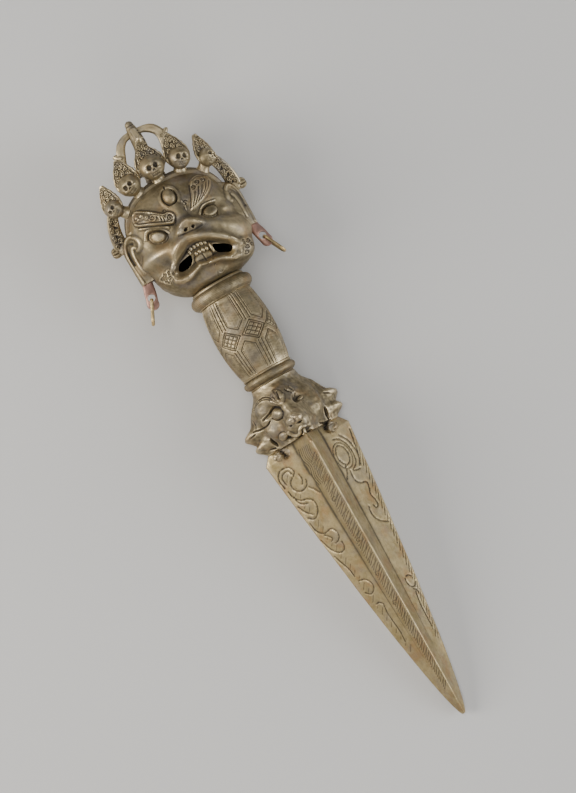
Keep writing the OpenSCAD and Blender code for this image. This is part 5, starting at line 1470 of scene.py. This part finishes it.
def make_finial(sizes):
    grid = turned(resampled(STEM, 0.3), 160)
    relief = Relief(*seen(grid))
    for k in range(12):
        row, column = divmod(k, 3)
        place = (-1.9 + 1.35 * column + 0.4 * (row % 2), 284.4 + 3 * row)
        relief.curl(place, 0.9, 1.1, 70 * k, 0.5, -0.4, -1 if k % 2 else 1)
    relief.line([(-3, 295.6), (-0.6, 295.2), (1.8, 295.5)], 0.5, -0.4)
    outward = normals_of(grid)
    facing = smooth((-outward[..., 1] - 0.1) / 0.3) * smooth((grid[..., 2] - 282) / 2)
    height = relief.height(sizes.carving) * facing + sizes.dents * lump(grid, 6, 60)
    # The rim of the plate is cut into sixteen petals
    turn = np.arctan2(grid[..., 0], -grid[..., 1])
    away = np.linalg.norm(grid[..., :2], axis=-1)
    petals = 0.22 * np.abs(np.cos(turn * 8)) * smooth((8.95 - np.abs(away - 8.2) * 9) / 8)
    height = height - petals * (grid[..., 2] < Z_PRONG) * (grid[..., 2] > Z_PLATE - 0.9)
    stem = solid("stem", *tube(bent(grid + outward * height[..., None])))
    prong = turned_out(solid("prong", *tube(dented(prong_grid(), 0.06, 5, 61))))
    spur = turned_out(solid("spur", *tube(spur_grid())))
    combine(prong, [spur], "UNION")
    prongs = grown(prong, bpy.data.node_groups.get(ROUND_TREE) or round_tree(), "finial_brass", Count=4)
    for vertex in prongs.data.vertices:
        vertex.co.x = bent(np.array(vertex.co))[0]
    combine(stem, [prongs], "UNION")
    settle(stem, "vajra_finial_shaped", "vajra_finial", "finial_brass")


# Lobes and earrings

LOBE_W, LOBE_T, LOBE_ROUND, LOBE_FLARE = 2.7, 1.2, -9.3, 14
LOBE_X = EAR_REACH - 0.2 - LOBE_W
HOLE_DOWN = 6.5
HOLE_X = LOBE_X + HOLE_DOWN * math.sin(math.radians(LOBE_FLARE))
HOLE_Z = Z_LOBE - HOLE_DOWN * math.cos(math.radians(LOBE_FLARE))


def make_lobes(sizes):
    for side, name in SIDES:
        z = np.concatenate([np.linspace(-11.98, LOBE_ROUND, 24), np.linspace(-9.2, 0.9, 40)])
        tip = np.sqrt(np.clip(LOBE_W ** 2 - (z - LOBE_ROUND) ** 2, 0.02, None))
        half = np.where(z < LOBE_ROUND, tip, LOBE_W) - 0.25 * smooth((z + 4) / 4)
        thick = LOBE_T * (half / LOBE_W) ** 0.35
        ring = around(56)
        x = half[:, None] * signed_pow(np.sin(ring), 0.8)
        y = -thick[:, None] * signed_pow(np.cos(ring), 0.7)
        grid = np.stack([x, y, np.repeat(z[:, None], len(ring), 1)], -1)
        grid = turned_by(grid, -LOBE_FLARE, "Y") + (LOBE_X, -EAR_FRONT, Z_LOBE)
        grid = dented(grid, sizes.dents * 1.5, 5, 70 + side)
        lobe = solid("lobe", *tube(mirrored(grid, side)))
        # The hole widens towards both of its ends
        ring = HOLE_R * np.stack([np.sin(around(48)), np.zeros(48), np.cos(around(48))], 1)
        hole = np.array([ring * wide + (0, deep, 0) for deep, wide in ((-3, 1.5), (-1, 1), (1, 1), (3, 1.5))])
        tool = turned_out(solid("hole", *tube(hole + (side * HOLE_X, -EAR_FRONT, HOLE_Z))))
        combine(lobe, [tool], "DIFFERENCE")
        settle(lobe, f"ear_lobe_{name}_shaped", f"ear_lobe_{name}", "copper_lobe")


def make_earrings(sizes):
    # A loop runs through its hole on a bar, round a bend, along a leg and round its far end, and back
    bend = WIRE_R + 0.3
    leg, bar = LOBE_T + bend, HOLE_R - WIRE_R - 0.05
    start = bar + bend
    length = RING_LENGTH - WIRE_R - leg - start
    corner = [(start - x, LOBE_T + y) for x, y in arc(0, 0, bend, 10, 90, 9)]
    corner += [(start + d, leg) for d in np.linspace(0.3, length, 14)]
    path = [(bar, y) for y in np.linspace(-LOBE_T, LOBE_T, 8)] + corner
    path += [(start + length + y, x) for x, y in arc(0, 0, leg, 8, 172, 21)]
    path += [(x, -y) for x, y in reversed(corner)]
    path = np.array([(x, y, 0) for x, y in path], float)
    path = turned_by(path, REST_SWING, "Y") + (HOLE_X, -EAR_FRONT, HOLE_Z)
    count = len(path)
    for side, name in SIDES:
        mesh = bpy.data.meshes.new("loop")
        mesh.from_pydata((path * (side, 1, 1)).tolist(), [(k, (k + 1) % count) for k in range(count)], [])
        loop = placed("loop", mesh)
        tree = bpy.data.node_groups.get(WIRE_TREE) or wire_tree()
        turned_out(grown(loop, tree, "wire_brass", Radius=sizes.wire_r, Sides=28))
        settle(loop, f"earring_{name}_wire", f"earring_{name}", "wire_brass", f"earring_{name}")


# Stage

# Place and width in metres, power in watts and tint of each soft light, which looks at the dagger's middle
LIGHTS = {
    "key": ((-0.95, 0.35, 0.5), 0.6, 13, (1.0, 0.97, 0.92)),
    "fill": ((1.0, -0.5, 0.42), 0.8, 11.5, (0.93, 0.96, 1.0)),
    "rim": ((-0.35, -0.95, 0.6), 0.5, 3.5, (1.0, 0.95, 0.88)),
    "top": ((-0.15, 0.1, 1.3), 0.8, 6, (1.0, 0.99, 0.97)),
    "back": ((0.15, 1.1, 0.55), 0.6, 1.6, (1.0, 0.98, 0.95)),
}


def make_floor(radius, ground):
    mesh = bpy.data.meshes.new("floor")
    rim = np.radians(np.arange(0, 360, 3))
    mesh.from_pydata([(radius * math.cos(a), radius * math.sin(a), 0) for a in rim], [], [range(len(rim))])
    material = bpy.data.materials.new("floor_paper")
    material.use_nodes = True
    shader = material.node_tree.nodes["Principled BSDF"]
    shader.inputs["Base Color"].default_value = (*ground, 1)
    shader.inputs["Roughness"].default_value = 0.9
    mesh.materials.append(material)
    placed("floor", mesh)


def make_camera(scene, lens):
    """The camera, rolled and laid down together with the dagger"""
    camera = bpy.data.cameras.new("camera")
    camera.lens, camera.sensor_width, camera.clip_end = lens, 36, 50
    c, s = cos_sin(LOOK_ROLL)
    axes = Matrix(np.column_stack([RIGHT * c + UP * s, UP * c - RIGHT * s, TOWARDS]).tolist())
    turn = ((LAY * 1000).to_3x3() @ axes).to_4x4()
    turn.translation = LAY @ Vector(EYE)
    scene.camera = placed("camera", camera)
    scene.camera.matrix_world = turn


def make_stage(sizes):
    scene = bpy.context.scene
    make_floor(sizes.floor_size / 2, scene.dagger_finish.ground)
    make_camera(scene, sizes.lens)
    for name, (spot, size, power, tint) in LIGHTS.items():
        lamp = bpy.data.lights.new(name, "AREA")
        lamp.size, lamp.energy, lamp.color = size, power, tint
        turn = (Vector(spot) - Vector((0, 0, 0.02))).to_track_quat("Z", "Y")
        placed(name, lamp).matrix_world = Matrix.Translation(spot) @ turn.to_matrix().to_4x4()
    world = scene.world or bpy.data.worlds.new("room")
    scene.world = world
    world.use_nodes = True
    tree = world.node_tree
    tree.nodes.clear()
    # The room gives a faint light, and is seen behind the floor as a pale wall
    room = node(tree, "ShaderNodeBackground", [("Color", (0.9, 0.93, 1.0, 1)), ("Strength", 0.17)])
    wall = node(tree, "ShaderNodeBackground", [("Color", (0.66, 0.655, 0.645, 1))])
    seen_by = node(tree, "ShaderNodeLightPath").outputs["Is Camera Ray"]
    both = node(tree, "ShaderNodeMixShader", [(0, seen_by), (1, room.outputs[0]), (2, wall.outputs[0])])
    node(tree, "ShaderNodeOutputWorld", [("Surface", both.outputs[0])])


# Operators, one for each piece or group of like pieces

class DAGGER_OT_stage(Operator):
    """Makes the floor, the soft lights and the camera"""
    bl_idname = "dagger.stage"
    bl_label = "Stage"
    bl_options = {"REGISTER", "UNDO"}

    def execute(self, context):
        make_stage(context.scene.dagger_sizes)
        return {"FINISHED"}


class DAGGER_OT_blade(Operator):
    """Makes the three-vaned blade with its engraved scrolls"""
    bl_idname = "dagger.blade"
    bl_label = "Blade"
    bl_options = {"REGISTER", "UNDO"}

    def execute(self, context):
        make_blade(context.scene.dagger_sizes)
        return {"FINISHED"}


class DAGGER_OT_socket(Operator):
    """Carves the makara's head that holds the blade"""
    bl_idname = "dagger.socket"
    bl_label = "Makara socket"
    bl_options = {"REGISTER", "UNDO"}

    def execute(self, context):
        make_socket(context.scene.dagger_sizes)
        return {"FINISHED"}


class DAGGER_OT_turned(Operator):
    """Turns the lower ring and the collar"""
    bl_idname = "dagger.turned"
    bl_label = "Ring and collar"
    bl_options = {"REGISTER", "UNDO"}

    def execute(self, context):
        make_turned(context.scene.dagger_sizes)
        return {"FINISHED"}


class DAGGER_OT_grip(Operator):
    """Makes the barrel grip with its engraved lattice"""
    bl_idname = "dagger.grip"
    bl_label = "Grip"
    bl_options = {"REGISTER", "UNDO"}

    def execute(self, context):
        make_grip(context.scene.dagger_sizes)
        return {"FINISHED"}


class DAGGER_OT_head(Operator):
    """Carves the three-eyed face, the hair and the ears"""
    bl_idname = "dagger.head"
    bl_label = "Head"
    bl_options = {"REGISTER", "UNDO"}

    def execute(self, context):
        make_head(context.scene.dagger_sizes)
        return {"FINISHED"}


class DAGGER_OT_crown(Operator):
    """Makes the band and the five skull plaques"""
    bl_idname = "dagger.crown"
    bl_label = "Crown"
    bl_options = {"REGISTER", "UNDO"}

    def execute(self, context):
        make_crown(context.scene.dagger_sizes)
        return {"FINISHED"}


class DAGGER_OT_ear_leaves(Operator):
    """Makes the crescents and the rosettes at the ears"""
    bl_idname = "dagger.ear_leaves"
    bl_label = "Ear leaves"
    bl_options = {"REGISTER", "UNDO"}

    def execute(self, context):
        make_ear_leaves()
        return {"FINISHED"}


class DAGGER_OT_finial(Operator):
    """Makes the half-vajra finial"""
    bl_idname = "dagger.finial"
    bl_label = "Finial"
    bl_options = {"REGISTER", "UNDO"}

    def execute(self, context):
        make_finial(context.scene.dagger_sizes)
        return {"FINISHED"}


class DAGGER_OT_lobes(Operator):
    """Makes the copper ear lobes"""
    bl_idname = "dagger.lobes"
    bl_label = "Lobes"
    bl_options = {"REGISTER", "UNDO"}

    def execute(self, context):
        make_lobes(context.scene.dagger_sizes)
        return {"FINISHED"}


class DAGGER_OT_earrings(Operator):
    """Bends the wire earrings"""
    bl_idname = "dagger.earrings"
    bl_label = "Earrings"
    bl_options = {"REGISTER", "UNDO"}

    def execute(self, context):
        make_earrings(context.scene.dagger_sizes)
        return {"FINISHED"}


OPERATORS = (
    DAGGER_OT_stage, DAGGER_OT_blade, DAGGER_OT_socket, DAGGER_OT_turned, DAGGER_OT_grip, DAGGER_OT_head,
    DAGGER_OT_crown, DAGGER_OT_ear_leaves, DAGGER_OT_finial, DAGGER_OT_lobes, DAGGER_OT_earrings,
)


class DAGGER_PT_panel(Panel):
    bl_label = "Three-vaned dagger"
    bl_idname = "DAGGER_PT_panel"
    bl_space_type = "VIEW_3D"
    bl_region_type = "UI"
    bl_category = "Dagger"

    def draw(self, context):
        for settings in (context.scene.dagger_sizes, context.scene.dagger_finish):
            for key in settings.bl_rna.properties.keys():
                if key not in ("rna_type", "name"):
                    self.layout.prop(settings, key)
        for made in OPERATORS:
            self.layout.operator(made.bl_idname)


CLASSES = (DaggerSizes, DaggerFinish, *OPERATORS, DAGGER_PT_panel)


def register():
    for cls in CLASSES:
        bpy.utils.register_class(cls)
    bpy.types.Scene.dagger_sizes = PointerProperty(type=DaggerSizes)
    bpy.types.Scene.dagger_finish = PointerProperty(type=DaggerFinish)


def unregister():
    del bpy.types.Scene.dagger_finish
    del bpy.types.Scene.dagger_sizes
    for cls in reversed(CLASSES):
        bpy.utils.unregister_class(cls)


def main():
    register()
    for made in OPERATORS:
        getattr(bpy.ops.dagger, made.bl_idname.split(".")[1])()


if __name__ == "__main__":
    main()
